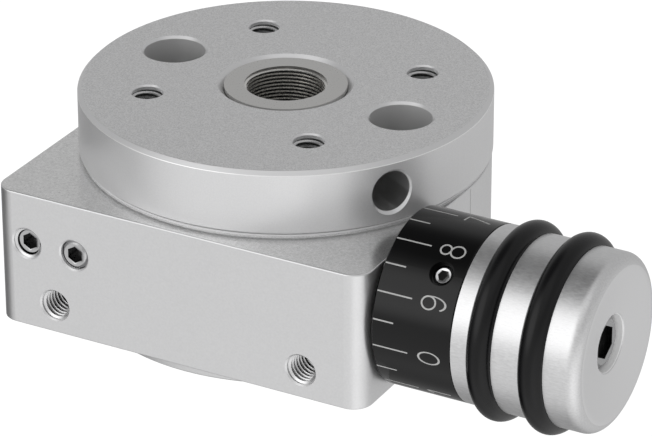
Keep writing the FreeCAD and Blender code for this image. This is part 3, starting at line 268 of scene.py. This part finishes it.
def make_bore_group():
    """One inside a round hole and nothing outside it, from its mouth, way in, radius and depth."""
    group, given, result = new_group(
        "inside_bore",
        [("Mouth", "NodeSocketVector", (0.0, 0.0, 0.0)), ("Way in", "NodeSocketVector", (0.0, 0.0, -1.0)),
         ("Radius", "NodeSocketFloat", 3.0), ("Depth", "NodeSocketFloat", 10.0)],
        [("Inside", "NodeSocketFloat")])
    place = group.nodes.new("ShaderNodeTexCoord").outputs["Object"]
    offset = vector_node(group, "SUBTRACT", place, given.outputs["Mouth"])
    depth = vector_node(group, "DOT_PRODUCT", offset, given.outputs["Way in"])
    crossed = vector_node(group, "CROSS_PRODUCT", offset, given.outputs["Way in"])
    across = vector_node(group, "LENGTH", crossed)
    near = math_node(group, "LESS_THAN", across, math_node(group, "MULTIPLY", given.outputs["Radius"], MM))
    deep = math_node(group, "GREATER_THAN", depth, WALL_START * MM)
    above = math_node(group, "LESS_THAN", depth, math_node(group, "MULTIPLY", given.outputs["Depth"], MM))
    within = math_node(group, "MULTIPLY", deep, above)
    group.links.new(math_node(group, "MULTIPLY", near, within), result.inputs["Inside"])
    return group


def make_face_group():
    """Masks of the faces that look along Z, of those that look along X and of those that slope."""
    outputs = [(label, "NodeSocketFloat") for label in ("Level", "Ends", "Slopes")]
    group, _, result = new_group("face_masks", [], outputs)
    place = group.nodes.new("ShaderNodeTexCoord")
    parts = group.nodes.new("ShaderNodeSeparateXYZ")
    group.links.new(place.outputs["Normal"], parts.inputs[0])
    for axis, output in (("Z", "Level"), ("X", "Ends")):
        size = math_node(group, "ABSOLUTE", parts.outputs[axis])
        group.links.new(math_node(group, "GREATER_THAN", size, 0.98), result.inputs[output])
    slope = math_node(group, "COMPARE", parts.outputs["Z"], 0.6, 0.35)
    group.links.new(slope, result.inputs["Slopes"])
    return group


def make_height_group():
    """One between two heights on the object, further than a reach from its upright axis."""
    group, given, result = new_group(
        "height_band",
        [("Low", "NodeSocketFloat", 0.0), ("High", "NodeSocketFloat", 1.0),
         ("Reach", "NodeSocketFloat", 0.0)],
        [("Inside", "NodeSocketFloat")])
    place = group.nodes.new("ShaderNodeTexCoord").outputs["Object"]
    parts = group.nodes.new("ShaderNodeSeparateXYZ")
    group.links.new(place, parts.inputs[0])
    height = math_node(group, "DIVIDE", parts.outputs["Z"], MM)
    level = vector_node(group, "MULTIPLY", place, (1.0, 1.0, 0.0))
    reach = math_node(group, "DIVIDE", vector_node(group, "LENGTH", level), MM)
    above = math_node(group, "GREATER_THAN", height, given.outputs["Low"])
    below = math_node(group, "LESS_THAN", height, given.outputs["High"])
    out = math_node(group, "GREATER_THAN", reach, given.outputs["Reach"])
    between = math_node(group, "MULTIPLY", above, below)
    group.links.new(math_node(group, "MULTIPLY", between, out), result.inputs["Inside"])
    return group


def use_group(material, group, **inputs):
    """Place a group in a material."""
    node = material.node_tree.nodes.new("ShaderNodeGroup")
    node.node_tree = group
    for key, value in inputs.items():
        node.inputs[key.replace("_", " ")].default_value = value
    return node


def add_bump(material, height, strength, distance):
    """Feed a height into the shader's normal."""
    tree = material.node_tree
    bump = add_node(tree, "ShaderNodeBump", Strength=strength, Distance=distance * MM)
    tree.links.new(height, bump.inputs["Height"])
    tree.links.new(bump.outputs["Normal"], shader_of(material).inputs["Normal"])
    return bump


def grained_tone(material, mask, tone, contrast):
    """A tone that a mask makes a little darker and lighter."""
    mix = material.node_tree.nodes.new("ShaderNodeMix")
    mix.data_type = "RGBA"
    mix.inputs[6].default_value = (*((1 - contrast) * part for part in tone), 1)
    mix.inputs[7].default_value = (*(min(1.0, (1 + contrast) * part) for part in tone), 1)
    material.node_tree.links.new(mask, mix.inputs[0])
    return mix.outputs[2]


def vary_tone(material, mask, tone, contrast):
    """Let a mask vary the base tone of a shader."""
    result = grained_tone(material, mask, tone, contrast)
    material.node_tree.links.new(result, shader_of(material).inputs["Base Color"])


def spread(material, mask, low=0.0, high=1.0):
    """Spread the middle of a noise mask over a range."""
    tree = material.node_tree
    ranged = add_node(tree, "ShaderNodeMapRange", From_Min=0.3, From_Max=0.7, To_Min=low, To_Max=high)
    tree.links.new(mask, ranged.inputs["Value"])
    return ranged.outputs["Result"]


def vary(material, mask, socket, low, high):
    """Let a mask move a shader value between two numbers."""
    material.node_tree.links.new(spread(material, mask, low, high), shader_of(material).inputs[socket])


def overlay(material, mask, socket, value):
    """Where a mask is one, put a number or a tone, plain or linked, over what feeds a shader value."""
    tree = material.node_tree
    target = shader_of(material).inputs[socket]
    mix = tree.nodes.new("ShaderNodeMix")
    colored = socket == "Base Color"
    if colored:
        mix.data_type = "RGBA"
    first, second = (mix.inputs[6], mix.inputs[7]) if colored else (mix.inputs[2], mix.inputs[3])
    if isinstance(value, bpy.types.NodeSocket):
        tree.links.new(value, second)
    else:
        second.default_value = (*value, 1) if colored else value
    tree.links.new(mask, mix.inputs[0])
    if target.links:
        tree.links.new(target.links[0].from_socket, first)
    else:
        first.default_value = target.default_value
    tree.links.new(mix.outputs[2 if colored else 0], target)


def shade_bores(material, group, bores, tone, roughness, metallic=None):
    """Paint a tone, a roughness and, if given, a metallic value on the walls of holes and sockets; the tone
    stands in for the shade in them, and for light in the knob's end hole: each is a mouth, the way in, a
    radius and a depth.
    """
    inside = None
    for mouth, way, radius, depth in bores:
        place = tuple(MM * part for part in mouth)
        node = use_group(material, group, Mouth=place, Way_in=way, Radius=radius, Depth=depth)
        found = node.outputs["Inside"]
        inside = found if inside is None else math_node(material.node_tree, "MAXIMUM", inside, found)
    overlay(material, inside, "Base Color", tone)
    overlay(material, inside, "Roughness", roughness)
    if metallic is not None:
        overlay(material, inside, "Metallic", metallic)


def dress_top(material, groups, grain, tone, roughness, metallic, contrast):
    """Give level faces a speckled tone and surface of their own, and slopes a plain one; the level faces'
    own tone is painted light and shade, the speckle is grain.
    """
    slopes = use_group(material, groups["faces"]).outputs["Slopes"]
    overlay(material, slopes, "Base Color", SLOPE_TONE)
    overlay(material, slopes, "Roughness", SLOPE_ROUGHNESS)
    overlay(material, slopes, "Metallic", ANODISED)
    level = use_group(material, groups["faces"]).outputs["Level"]
    # painted light and shade: the level faces' own tone, with speckle from the grain
    speckled = grained_tone(material, spread(material, grain), tone, contrast)
    overlay(material, level, "Base Color", speckled)
    overlay(material, level, "Roughness", roughness)
    overlay(material, level, "Metallic", metallic)


def satin_aluminium(name, tone, roughness, groups, metallic=ANODISED, grain_size=0.3, top=None):
    """Blasted and clear anodised aluminium; the values in top are those of its level faces, whose own tone
    is painted light and shade.
    """
    material = finish(name)
    set_shader(material, tone, metallic, roughness)
    node = use_group(material, groups["grain"], Grain_size=grain_size, Cloud_size=9.0)
    grain = node.outputs["Height"]
    vary_tone(material, grain, tone, 0.07)
    vary(material, node.outputs["Cloud"], "Roughness", roughness - 0.03, roughness + 0.03)
    if top:
        dress_top(material, groups, grain, **top)
    add_bump(material, grain, 0.12, 0.02)
    return material


def streaked_metal(name, tone, roughness, groups, across=EVERY_WAY, width=0.3, strength=0.1, contrast=0.07):
    """Metal with the fine streaks or the fine grain that machining leaves; returns it and its bump."""
    material = finish(name)
    set_shader(material, tone, 1.0, roughness)
    streaks = use_group(material, groups["streaks"], Across=across, Width=width).outputs["Height"]
    vary_tone(material, streaks, tone, contrast)
    vary(material, streaks, "Roughness", roughness - 0.06, roughness + 0.06)
    return material, add_bump(material, streaks, strength, 0.02)


def turned_knob(name, tone, roughness, groups):
    """Turned aluminium with streaks along X and smooth ends, whose brighter tone is painted light."""
    strength = 0.08
    material, bump = streaked_metal(name, tone, roughness, groups, ALONG_X, 0.26, strength, 0.26)
    tree = material.node_tree
    ends = use_group(material, groups["faces"]).outputs["Ends"]
    # painted light: a brighter tone on the ends
    overlay(material, ends, "Base Color", tuple(min(1.0, END_PAINTED_LIGHT * part) for part in tone))
    overlay(material, ends, "Roughness", roughness)
    tree.links.new(math_node(tree, "MULTIPLY_ADD", ends, -strength, strength), bump.inputs["Strength"])
    return material


def coated(name, tone, roughness, grain, strength, groups):
    """A coat, paint or rubber with a fine grain."""
    material = finish(name)
    set_shader(material, tone, 0.0, roughness)
    node = use_group(material, groups["grain"], Grain_size=grain, Cloud_size=6.0)
    vary_tone(material, node.outputs["Height"], tone, 0.3)
    vary(material, node.outputs["Cloud"], "Roughness", roughness - 0.04, roughness + 0.04)
    add_bump(material, node.outputs["Height"], strength, 0.03)
    return material


def table_holes():
    """Places of the four tapped holes of the table."""
    angles = [math.radians(TABLE_ANGLE + 45 + 90 * i) for i in range(4)]
    return [(math.cos(angle) * HOLE_CIRCLE / 2, math.sin(angle) * HOLE_CIRCLE / 2) for angle in angles]


def table_bores():
    """The four tapped holes of the table, each as mouth, way in, radius and depth."""
    return [((x, y, TABLE_TOP - 0.9), DOWN, SMALL_BORE, 11.5) for x, y in table_holes()]


def access_bores():
    """The two holes over the fixing screws."""
    angle, reach = math.radians(TABLE_ANGLE), HOLE_CIRCLE / 2
    x, y = math.cos(angle) * reach, math.sin(angle) * reach
    return [((side * x, side * y, TABLE_TOP), DOWN, ACCESS_BORE, 13.5) for side in (1, -1)]


def bar_bore():
    """The level hole in the rim of the table."""
    across, along = math.cos(math.radians(BAR_HOLE_ANGLE)), math.sin(math.radians(BAR_HOLE_ANGLE))
    mouth = (BAR_HOLE_REACH * across, BAR_HOLE_REACH * along, BAR_HOLE_Z)
    return [(mouth, (-across, -along, 0), BAR_BORE, 15.0)]


def front_bores():
    """The tapped holes in the front face and the holes of the grub screws beside them."""
    return [((x, FRONT_FACE + 0.9, z), INWARD, SMALL_BORE, 13.0) for x, z in FRONT_HOLES + GRUB_HOLES]


def grub_sockets():
    """The hexagon sockets of the grub screws in the front face."""
    return [((x, head + RIM_DISH, z), INWARD, GRUB_SOCKET, 4.0)
            for (x, z), head in zip(GRUB_HOLES, GRUB_HEADS)]


def ring_screw_socket():
    """The hexagon socket of the grub screw in the scale ring."""
    angle, reach = math.radians(RING_SCREW_ANGLE), RING_RADIUS - RING_SCREW_DEPTH - RIM_DISH
    way = (0, math.cos(angle), -math.sin(angle))
    return [((RING_SCREW_X, WORM_Y - way[1] * reach, WORM_Z - way[2] * reach), way, RING_SOCKET, 2.5)]


def aluminium_finishes(groups):
    """The finishes of housing, table, base flange, threads in them and knob."""
    return {
        # the tone in each top is painted light and shade: a lighter top on the housing, a darker one on the
        # table
        "housing_aluminium": satin_aluminium(
            "housing_aluminium", (0.74, 0.74, 0.745), 0.34, groups, grain_size=0.42,
            top={"tone": (0.79, 0.79, 0.79), "roughness": 0.23, "metallic": 0.85, "contrast": 0.16}),
        "table_aluminium": satin_aluminium(
            "table_aluminium", (0.77, 0.77, 0.775), 0.40, groups, metallic=0.62, grain_size=0.26,
            top={"tone": (0.745, 0.745, 0.75), "roughness": 0.40, "metallic": 0.76, "contrast": 0.2}),
        "flange_aluminium": satin_aluminium("flange_aluminium", (0.70, 0.70, 0.705), 0.36, groups),
        "thread_metal": satin_aluminium("thread_metal", (0.74, 0.74, 0.745), 0.28, groups),
        "knob_aluminium": turned_knob("knob_aluminium", (0.73, 0.73, 0.735), 0.36, groups),
    }


def metal_finishes(groups):
    """The finishes of spindle, bearings, gears, pads and screws."""
    values = {
        "spindle_steel": ((0.635, 0.63, 0.618), 0.32),
        "bearing_steel": ((0.58, 0.58, 0.60), 0.22),
        "plain_steel": ((0.52, 0.52, 0.54), 0.30),
        "screw_steel": ((0.50, 0.50, 0.51), 0.22),
        "worm_steel": ((0.50, 0.50, 0.52), 0.25),
        "wheel_bronze": ((0.70, 0.50, 0.26), 0.32),
        "pad_brass": ((0.78, 0.62, 0.34), 0.30),
        "thread_steel": ((0.74, 0.73, 0.71), 0.26),
        "grub_steel": ((0.54, 0.54, 0.545), 0.15),
        "ring_screw_steel": ((0.72, 0.72, 0.73), 0.12),
        "end_screw_steel": ((0.44, 0.44, 0.445), 0.18),
    }
    return {name: streaked_metal(name, *pair, groups)[0] for name, pair in values.items()}


def coat_finishes(groups):
    """The finishes of scale ring, rubber rings, scale marks and index line."""
    finishes = {
        "scale_black": coated("scale_black", (0.0014, 0.0014, 0.0016), 0.13, 0.3, 0.03, groups),
        "ring_rubber": coated("ring_rubber", (0.003, 0.003, 0.0035), 0.24, 0.25, 0.10, groups),
        "mark_white": coated("mark_white", (0.50, 0.50, 0.495), 0.6, 0.3, 0.1, groups),
        "index_grey": coated("index_grey", (0.52, 0.52, 0.52), 0.6, 0.3, 0.1, groups),
    }
    shader_of(finishes["scale_black"]).inputs["Specular IOR Level"].default_value = 0.31
    shader_of(finishes["ring_rubber"]).inputs["Specular IOR Level"].default_value = 0.28
    return finishes


def shade_holes(finishes, group):
    """Painted shade on the walls of holes and sockets and painted light on the wall of the knob's end hole:
    tone, roughness and, for the knob, metallic value.
    """
    spindle_bore = [((0, 0, SPINDLE_TOP - 1.0), DOWN, SPINDLE_BORE, 14.0)]
    end_socket = [((END_SCREW_X - RIM_DISH, WORM_Y, WORM_Z), LEFTWARD, END_SOCKET, 4.0)]
    knob_bore = [((KNOB_END_X, WORM_Y, WORM_Z), LEFTWARD, KNOB_BORE, 9.0)]
    for name, bores, shade, roughness, metallic in (
            ("table_aluminium", access_bores(), 0.66, 0.5, None),
            ("table_aluminium", table_bores(), 0.05, 0.45, None),
            ("table_aluminium", bar_bore(), 0.45, 0.45, None),
            ("housing_aluminium", front_bores(), 0.05, 0.45, None),
            ("spindle_steel", spindle_bore, 0.07, 0.4, None),
            ("grub_steel", grub_sockets(), 0.20, 0.12, None),
            ("ring_screw_steel", ring_screw_socket(), 0.12, 0.10, None),
            ("end_screw_steel", end_socket, 0.20, 0.12, None),
            # painted light: the wall of the knob's end hole is made nearly white
            ("knob_aluminium", knob_bore, 0.98, 0.4, 0.0)):
        shade_bores(finishes[name], group, bores, (shade, shade, shade), roughness, metallic)


def shade_lips(finishes, group):
    """Painted light on narrow bands of height: on both lips of the gap under the table, where the gap lies
    in shade, and a painted highlight along its upper rim.
    """
    for name, low, high, reach, tone, metallic in (
            ("housing_aluminium", 30.93, 31.4, 37.0, PAINTED_LIP_LIGHT, 0.1),
            ("table_aluminium", 31.5, 31.72, 37.0, PAINTED_LIP_LIGHT, 0.1),
            # painted highlight: a white line along the table's upper rim
            ("table_aluminium", 43.44, 43.57, 39.6, (1.0, 1.0, 1.0), 0.8)):
        inside = use_group(finishes[name], group, Low=low, High=high, Reach=reach).outputs["Inside"]
        overlay(finishes[name], inside, "Base Color", tone)
        overlay(finishes[name], inside, "Metallic", metallic)


def make_finishes():
    """Every finish on the object by name; the CAD's pieces use those named like the record's slots."""
    groups = {"grain": make_grain_group(), "streaks": make_streak_group(), "faces": make_face_group()}
    finishes = {**aluminium_finishes(groups), **metal_finishes(groups), **coat_finishes(groups)}
    shade_holes(finishes, make_bore_group())
    shade_lips(finishes, make_height_group())
    return finishes


def dress_nodes(frame, finishes):
    """Give every CAD piece the finish of its slot."""
    slots = {part["node"]: part["material_slot"] for part in frame["record"]["subparts"]}
    for name, node in frame["nodes"].items():
        node.material_slots[0].material = finishes[slots[name]]


def smooth_by_angle(mesh, limit=30.0):
    """Smooth shading that keeps the edges sharper than the limit."""
    for face in mesh.polygons:
        face.use_smooth = True
    made = bmesh.new()
    made.from_mesh(mesh)
    for edge in made.edges:
        edge.smooth = len(edge.link_faces) == 2 and edge.calc_face_angle(0) < math.radians(limit)
    made.to_mesh(mesh)
    made.free()


def add_piece(name, made, body, material, smooth=True):
    """Make a built mesh a piece of the object that moves with a body."""
    mesh = bpy.data.meshes.new(name)
    made.to_mesh(mesh)
    made.free()
    mesh.materials.append(material)
    if smooth:
        smooth_by_angle(mesh)
    piece = bpy.data.objects.new(name, mesh)
    bpy.context.scene.collection.objects.link(piece)
    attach(piece, body)
    return piece


def join(made, shape):
    """Add one built shape to another."""
    mesh = bpy.data.meshes.new("shape")
    shape.to_mesh(mesh)
    shape.free()
    made.from_mesh(mesh)
    bpy.data.meshes.remove(mesh)


def close_faces(made):
    """Close open ends and point every face outwards."""
    bmesh.ops.remove_doubles(made, verts=made.verts, dist=1e-7)
    ends = [edge for edge in made.edges if len(edge.link_faces) == 1]
    if ends:
        bmesh.ops.contextual_create(made, geom=ends)
    bmesh.ops.recalc_face_normals(made, faces=made.faces)


def thread_ridge(made, thread, turns, steps):
    """Add an internal right-hand thread ridge that runs down from the origin along -Z."""
    radius, depth, pitch = thread
    top = -0.02 * MM
    outer, inner = (radius + 0.03) * MM, (radius - depth) * MM
    half, tip = 0.5 * pitch * 0.66 * MM, 0.09 * pitch * MM
    middle = top - half
    rows = [(outer, middle + half), (inner, middle + tip), (inner, middle - tip), (outer, middle - half)]
    corners = [made.verts.new((across, 0, up)) for across, up in rows]
    face = made.faces.new(corners)
    bmesh.ops.spin(made, geom=[face] + list(face.edges) + corners, cent=(0, 0, 0), axis=(0, 0, 1),
                   dvec=(0, 0, -pitch * MM / steps), angle=-2 * math.pi * turns, steps=int(steps * turns),
                   use_duplicate=False)


def add_thread(made, thread, turns, mouth, turn=Matrix(), steps=32):
    """Add a thread ridge that runs in from the mouth of a hole."""
    first = len(made.verts)
    thread_ridge(made, thread, turns, steps)
    made.verts.ensure_lookup_table()
    place = Matrix.Translation(Vector(mouth) * MM)
    bmesh.ops.transform(made, matrix=place @ turn, verts=made.verts[first:])


def cut_threads(finishes):
    """Threads in the tapped holes of the table, the front face and the spindle."""
    made = bmesh.new()
    for x, y in table_holes():
        add_thread(made, COARSE_THREAD, 11.5, (x, y, TABLE_TOP - 0.5))
    close_faces(made)
    add_piece("table_hole_threads", made, "table_body", finishes["thread_metal"])

    made = bmesh.new()
    inward = Euler((math.radians(90), 0, 0)).to_matrix().to_4x4()
    for x, z, start, turns in [(*hole, 0.3, 8.0) for hole in FRONT_HOLES] + [(*GRUB_HOLES[0], 0.05, 1.0)]:
        add_thread(made, COARSE_THREAD, turns, (x, FRONT_FACE + start, z), inward)
    close_faces(made)
    add_piece("front_hole_threads", made, "housing_body", finishes["thread_metal"])

    made = bmesh.new()
    add_thread(made, FINE_THREAD, 18.0, (0, 0, SPINDLE_TOP - 0.05), steps=64)
    close_faces(made)
    add_piece("spindle_thread", made, "table_body", finishes["thread_steel"])


def socket_screw(profile, corner, turn):
    """A screw turned from its profile of radius and height, its socket then drawn in to a hexagon."""
    made = bmesh.new()
    points = [made.verts.new((across * MM, 0, up * MM)) for across, up in profile]
    edges = [made.edges.new(pair) for pair in zip(points, points[1:])]
    bmesh.ops.spin(made, geom=points + edges, cent=(0, 0, 0), axis=(0, 0, 1), dvec=(0, 0, 0),
                   angle=2 * math.pi, steps=48, use_merge=True, use_duplicate=False)
    bmesh.ops.remove_doubles(made, verts=made.verts, dist=1e-7)
    for vert in made.verts:
        if abs(vert.co.to_2d().length - corner * MM) < 1e-7:
            part = (math.degrees(math.atan2(vert.co.y, vert.co.x)) - turn) % 60
            inward = math.cos(math.radians(30)) / math.cos(math.radians(part - 30))
            vert.co.x *= inward
            vert.co.y *= inward
    bmesh.ops.recalc_face_normals(made, faces=made.faces)
    return made


def grub_profile(radius, corner, length, bevel):
    """Half section of a grub screw: socket, dished rim, body and flat point."""
    depth = 0.4 * length
    return [(0, -depth), (corner, -depth), (corner, -RIM_DISH), (corner + RIM_WIDTH, 0),
            (radius - bevel, 0), (radius, -bevel), (radius, -length), (0, -length)]


def place_screw(screw, head, turn):
    """Put a screw that stands on the origin in its place."""
    bmesh.ops.transform(screw, matrix=Matrix.Translation(head * MM) @ turn, verts=screw.verts)


def sleeve_grub_screws(finishes):
    """The two grub screws in the front face, in place of the plain ones of the same size."""
    turn = Matrix.Rotation(math.radians(90), 4, "X")
    pair = bmesh.new()
    for (x, z), head in zip(GRUB_HOLES, GRUB_HEADS):
        screw = socket_screw(grub_profile(*SLEEVE_GRUB), SLEEVE_GRUB[1], 30)
        place_screw(screw, Vector((x, head, z)), turn)
        join(pair, screw)
    steel = finishes["grub_steel"]
    piece = add_piece("sleeve_grub_screws_seen", pair, "housing_body", steel)
    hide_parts("sleeve_grub_screws")


def scale_grub_screw(finishes):
    """The grub screw in the scale ring, in place of the plain one of the same size."""
    mouth, way = ring_screw_socket()[0][:2]
    screw = socket_screw(grub_profile(*RING_GRUB), RING_GRUB[1], 0)
    turn = Matrix.Rotation(math.radians(90 - RING_SCREW_ANGLE), 4, "X")
    place_screw(screw, Vector(mouth) - RIM_DISH * Vector(way), turn)
    steel = finishes["ring_screw_steel"]
    piece = add_piece("scale_grub_screw_seen", screw, "scale_body", steel)
    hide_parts("scale_grub_screw")


def knob_screw(finishes):
    """The screw in the knob's end with its wide socket, in place of the plain one of the same size."""
    corner = END_SOCKET_CORNER
    profile = [(0, END_SOCKET_BOTTOM), (corner, END_SOCKET_BOTTOM), (corner, -RIM_DISH),
               (corner + RIM_WIDTH, 0), (END_HEAD_FLAT, 0), (END_HEAD_RADIUS, END_HEAD_BEVEL),
               (END_HEAD_RADIUS, END_HEAD_BOTTOM), (END_THREAD_RADIUS, END_HEAD_BOTTOM),
               (END_THREAD_RADIUS, END_THREAD_END), (0, END_THREAD_END)]
    screw = socket_screw(profile, corner, 0)
    place_screw(screw, Vector((END_SCREW_X, WORM_Y, WORM_Z)), Matrix.Rotation(math.radians(90), 4, "Y"))
    piece = add_piece("knob_screw_seen", screw, "worm_body", finishes["end_screw_steel"])
    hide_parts("knob_screw")


def index_line(finishes):
    """Fine scribed line in the middle of the right side, under the edge of the table."""
    made = make_line((INDEX_START, 0), (INDEX_END, 0), INDEX_WIDTH, INDEX_HEIGHT)
    turn = Matrix.Rotation(math.radians(90), 4, "Y") @ Matrix.Rotation(math.radians(180), 4, "Z")
    place = Matrix.Translation(Vector((RIGHT_FACE, INDEX_Y, HOUSING_TOP - INDEX_SINK)) * MM)
    bmesh.ops.transform(made, matrix=place @ turn @ Matrix.Diagonal((MM, MM, MM, 1)), verts=made.verts)
    add_piece("index_line", made, "housing_body", finishes["index_grey"], smooth=False)


def make_line(start, end, width, height):
    """A flat bar from one point to another, with cuts along it so that it can bend."""
    start, end = Vector(start), Vector(end)
    along = end - start
    bar = bmesh.new()
    bmesh.ops.create_cube(bar, size=1.0)
    sides = [edge for edge in bar.edges if abs(edge.verts[0].co.x - edge.verts[1].co.x) > 0.5]
    bmesh.ops.subdivide_edges(bar, edges=sides, cuts=5)
    place = Matrix.Translation(((start + end) / 2).to_3d())
    turn = Matrix.Rotation(math.atan2(along.y, along.x), 4, "Z")
    size = Matrix.Diagonal((along.length, width, height, 1))
    bmesh.ops.transform(bar, matrix=place @ turn @ size, verts=bar.verts)
    return bar


def make_arc(centre, radii, start, end, width, height):
    """A flat ring or part of one: a small rectangle spun round, then stretched to its two radii."""
    mean = (radii[0] + radii[1]) / 2
    arc = bmesh.new()
    bmesh.ops.create_grid(arc, x_segments=1, y_segments=1, size=0.5)
    upright = Matrix.Diagonal((width / mean, 1, height, 1)) @ Matrix.Rotation(math.radians(90), 4, "X")
    place = Matrix.Rotation(math.radians(start), 4, "Z") @ Matrix.Translation((1, 0, 0))
    bmesh.ops.transform(arc, matrix=place @ upright, verts=arc.verts)
    whole = abs(end - start) == 360
    section = list(arc.faces)
    bmesh.ops.spin(arc, geom=list(arc.verts) + list(arc.edges) + section, cent=(0, 0, 0), axis=(0, 0, 1),
                   dvec=(0, 0, 0), angle=math.radians(end - start), steps=32 if whole else 16,
                   use_merge=whole, use_duplicate=False)
    bmesh.ops.transform(arc, matrix=Matrix.Translation((*centre, 0)) @ Matrix.Diagonal((*radii, 1, 1)),
                        verts=arc.verts)
    return arc


def wrap_on_ring(verts, angle):
    """Bend flat marks round the scale ring: flat X runs along the knob, flat Y round it."""
    for vert in verts:
        turn = math.radians(angle) + vert.co.y / RING_RADIUS
        radius = RING_RADIUS + vert.co.z
        along, up = -radius * math.cos(turn), radius * math.sin(turn)
        vert.co = MM * Vector((vert.co.x, WORM_Y + along, WORM_Z + up))


def stroke_shape(kind, stroke):
    """One stroke of a number, flat and in a cell one high."""
    width = NUMBER_WIDTH / NUMBER_SIZE
    if kind == "line":
        return make_line(*stroke, width, MARK_HEIGHT)
    across, up, wide, high, first, last = stroke
    return make_arc((across, up), (wide, high), first, last, width, MARK_HEIGHT)


def scale_marks(finishes):
    """White lines and numbers on the black ring, ten numbers to the turn and two lines to each."""
    made = bmesh.new()
    step = 360 / LINE_COUNT
    for i in range(LINE_COUNT):
        reach = LONG_LINE if i % 2 == 0 else SHORT_LINE
        line = make_line((RING_LEFT + LINE_START, 0), (RING_LEFT + reach, 0), LINE_WIDTH, MARK_HEIGHT)
        wrap_on_ring(line.verts, MARK_TURN + step * i)
        join(made, line)
    upright = Matrix.Translation((NUMBER_X, 0, 0)) @ Matrix.Rotation(math.radians(90), 4, "Z")
    size = Matrix.Diagonal((NUMBER_SIZE, NUMBER_SIZE, 1, 1))
    cell = upright @ Matrix.Translation((0, -NUMBER_SIZE / 2, 0)) @ size
    for number in range(10):
        for kind, *stroke in NUMBER_STROKES[str(number)]:
            shape = stroke_shape(kind, stroke)
            bmesh.ops.transform(shape, matrix=cell, verts=shape.verts)
            wrap_on_ring(shape.verts, MARK_TURN - 2 * step * number)
            join(made, shape)
    bmesh.ops.recalc_face_normals(made, faces=made.faces)
    add_piece("scale_marks", made, "scale_body", finishes["mark_white"], smooth=False)


def studio_camera():
    """Camera at the photograph's place."""
    data = bpy.data.cameras.new("camera")
    data.sensor_width = 36.0
    data.lens = CAMERA_LENS
    data.clip_start = 0.05
    data.clip_end = 20.0
    camera = bpy.data.objects.new("camera", data)
    camera.location = Vector(CAMERA_PLACE) * MM
    turn = Matrix.Rotation(math.radians(CAMERA_TURN), 3, "Z")
    tilt = Matrix.Rotation(math.radians(90 - CAMERA_HEIGHT), 3, "X")
    roll = Matrix.Rotation(math.radians(CAMERA_ROLL), 3, "Z")
    camera.rotation_euler = (turn @ tilt @ roll).to_euler()
    bpy.context.scene.collection.objects.link(camera)
    bpy.context.scene.camera = camera


def studio_floor():
    """Pale floor that the camera sees and that stays out of the reflections."""
    made = bmesh.new()
    bmesh.ops.create_grid(made, x_segments=1, y_segments=1, size=3.0)
    mesh = bpy.data.meshes.new("floor")
    made.to_mesh(mesh)
    made.free()
    floor = bpy.data.objects.new("floor", mesh)
    floor.location = (0, 0, -FLOOR_SINK * MM)
    bpy.context.scene.collection.objects.link(floor)
    material = finish("floor")
    tree = material.node_tree
    diffuse = add_node(tree, "ShaderNodeBsdfDiffuse", Color=(0.9, 0.9, 0.9, 1))
    glow = add_node(tree, "ShaderNodeEmission", Color=(1, 1, 1, 1), Strength=FLOOR_GLOW)
    mix = add_node(tree, "ShaderNodeMixShader", Fac=FLOOR_SHADE)
    tree.links.new(glow.outputs[0], mix.inputs[1])
    tree.links.new(diffuse.outputs[0], mix.inputs[2])
    tree.links.new(mix.outputs[0], tree.nodes["Material Output"].inputs["Surface"])
    mesh.materials.append(material)
    floor.visible_glossy = False
    floor.visible_diffuse = False
    floor.visible_shadow = False


def studio_light():
    """Soft light all round with brighter and darker patches; the camera sees a white backdrop."""
    world = bpy.data.worlds.new("studio")
    bpy.context.scene.world = world
    world.use_nodes = True
    tree = world.node_tree
    place = tree.nodes.new("ShaderNodeTexCoord")
    level = None
    for turn, height, inner, outer, strength in SOFT_LIGHTS:
        a, e = math.radians(turn), math.radians(height)
        aim = (math.sin(a) * math.cos(e), -math.cos(a) * math.cos(e), math.sin(e))
        nearness = vector_node(tree, "DOT_PRODUCT", place.outputs["Generated"], aim)
        patch = add_node(tree, "ShaderNodeMapRange", From_Min=math.cos(math.radians(outer)),
                         From_Max=math.cos(math.radians(inner)))
        patch.interpolation_type = "SMOOTHSTEP"
        tree.links.new(nearness, patch.inputs["Value"])
        start = SKY_LEVEL if level is None else level
        level = math_node(tree, "MULTIPLY_ADD", patch.outputs["Result"], strength, start)
    seen = tree.nodes.new("ShaderNodeLightPath").outputs["Is Camera Ray"]
    shown = tree.nodes.new("ShaderNodeMix")
    shown.inputs[3].default_value = 1.0
    tree.links.new(seen, shown.inputs[0])
    tree.links.new(level, shown.inputs[2])
    background = tree.nodes["Background"]
    background.inputs["Color"].default_value = (1, 1, 1, 1)
    tree.links.new(shown.outputs[0], background.inputs["Strength"])


def main():
    """Load the frame, dress it and set up the studio."""
    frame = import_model()
    bpy.context.scene.view_settings.view_transform = "Standard"
    studio_camera()
    studio_floor()
    studio_light()
    finishes = make_finishes()
    dress_nodes(frame, finishes)
    cut_threads(finishes)
    sleeve_grub_screws(finishes)
    scale_grub_screw(finishes)
    knob_screw(finishes)
    index_line(finishes)
    scale_marks(finishes)


main()
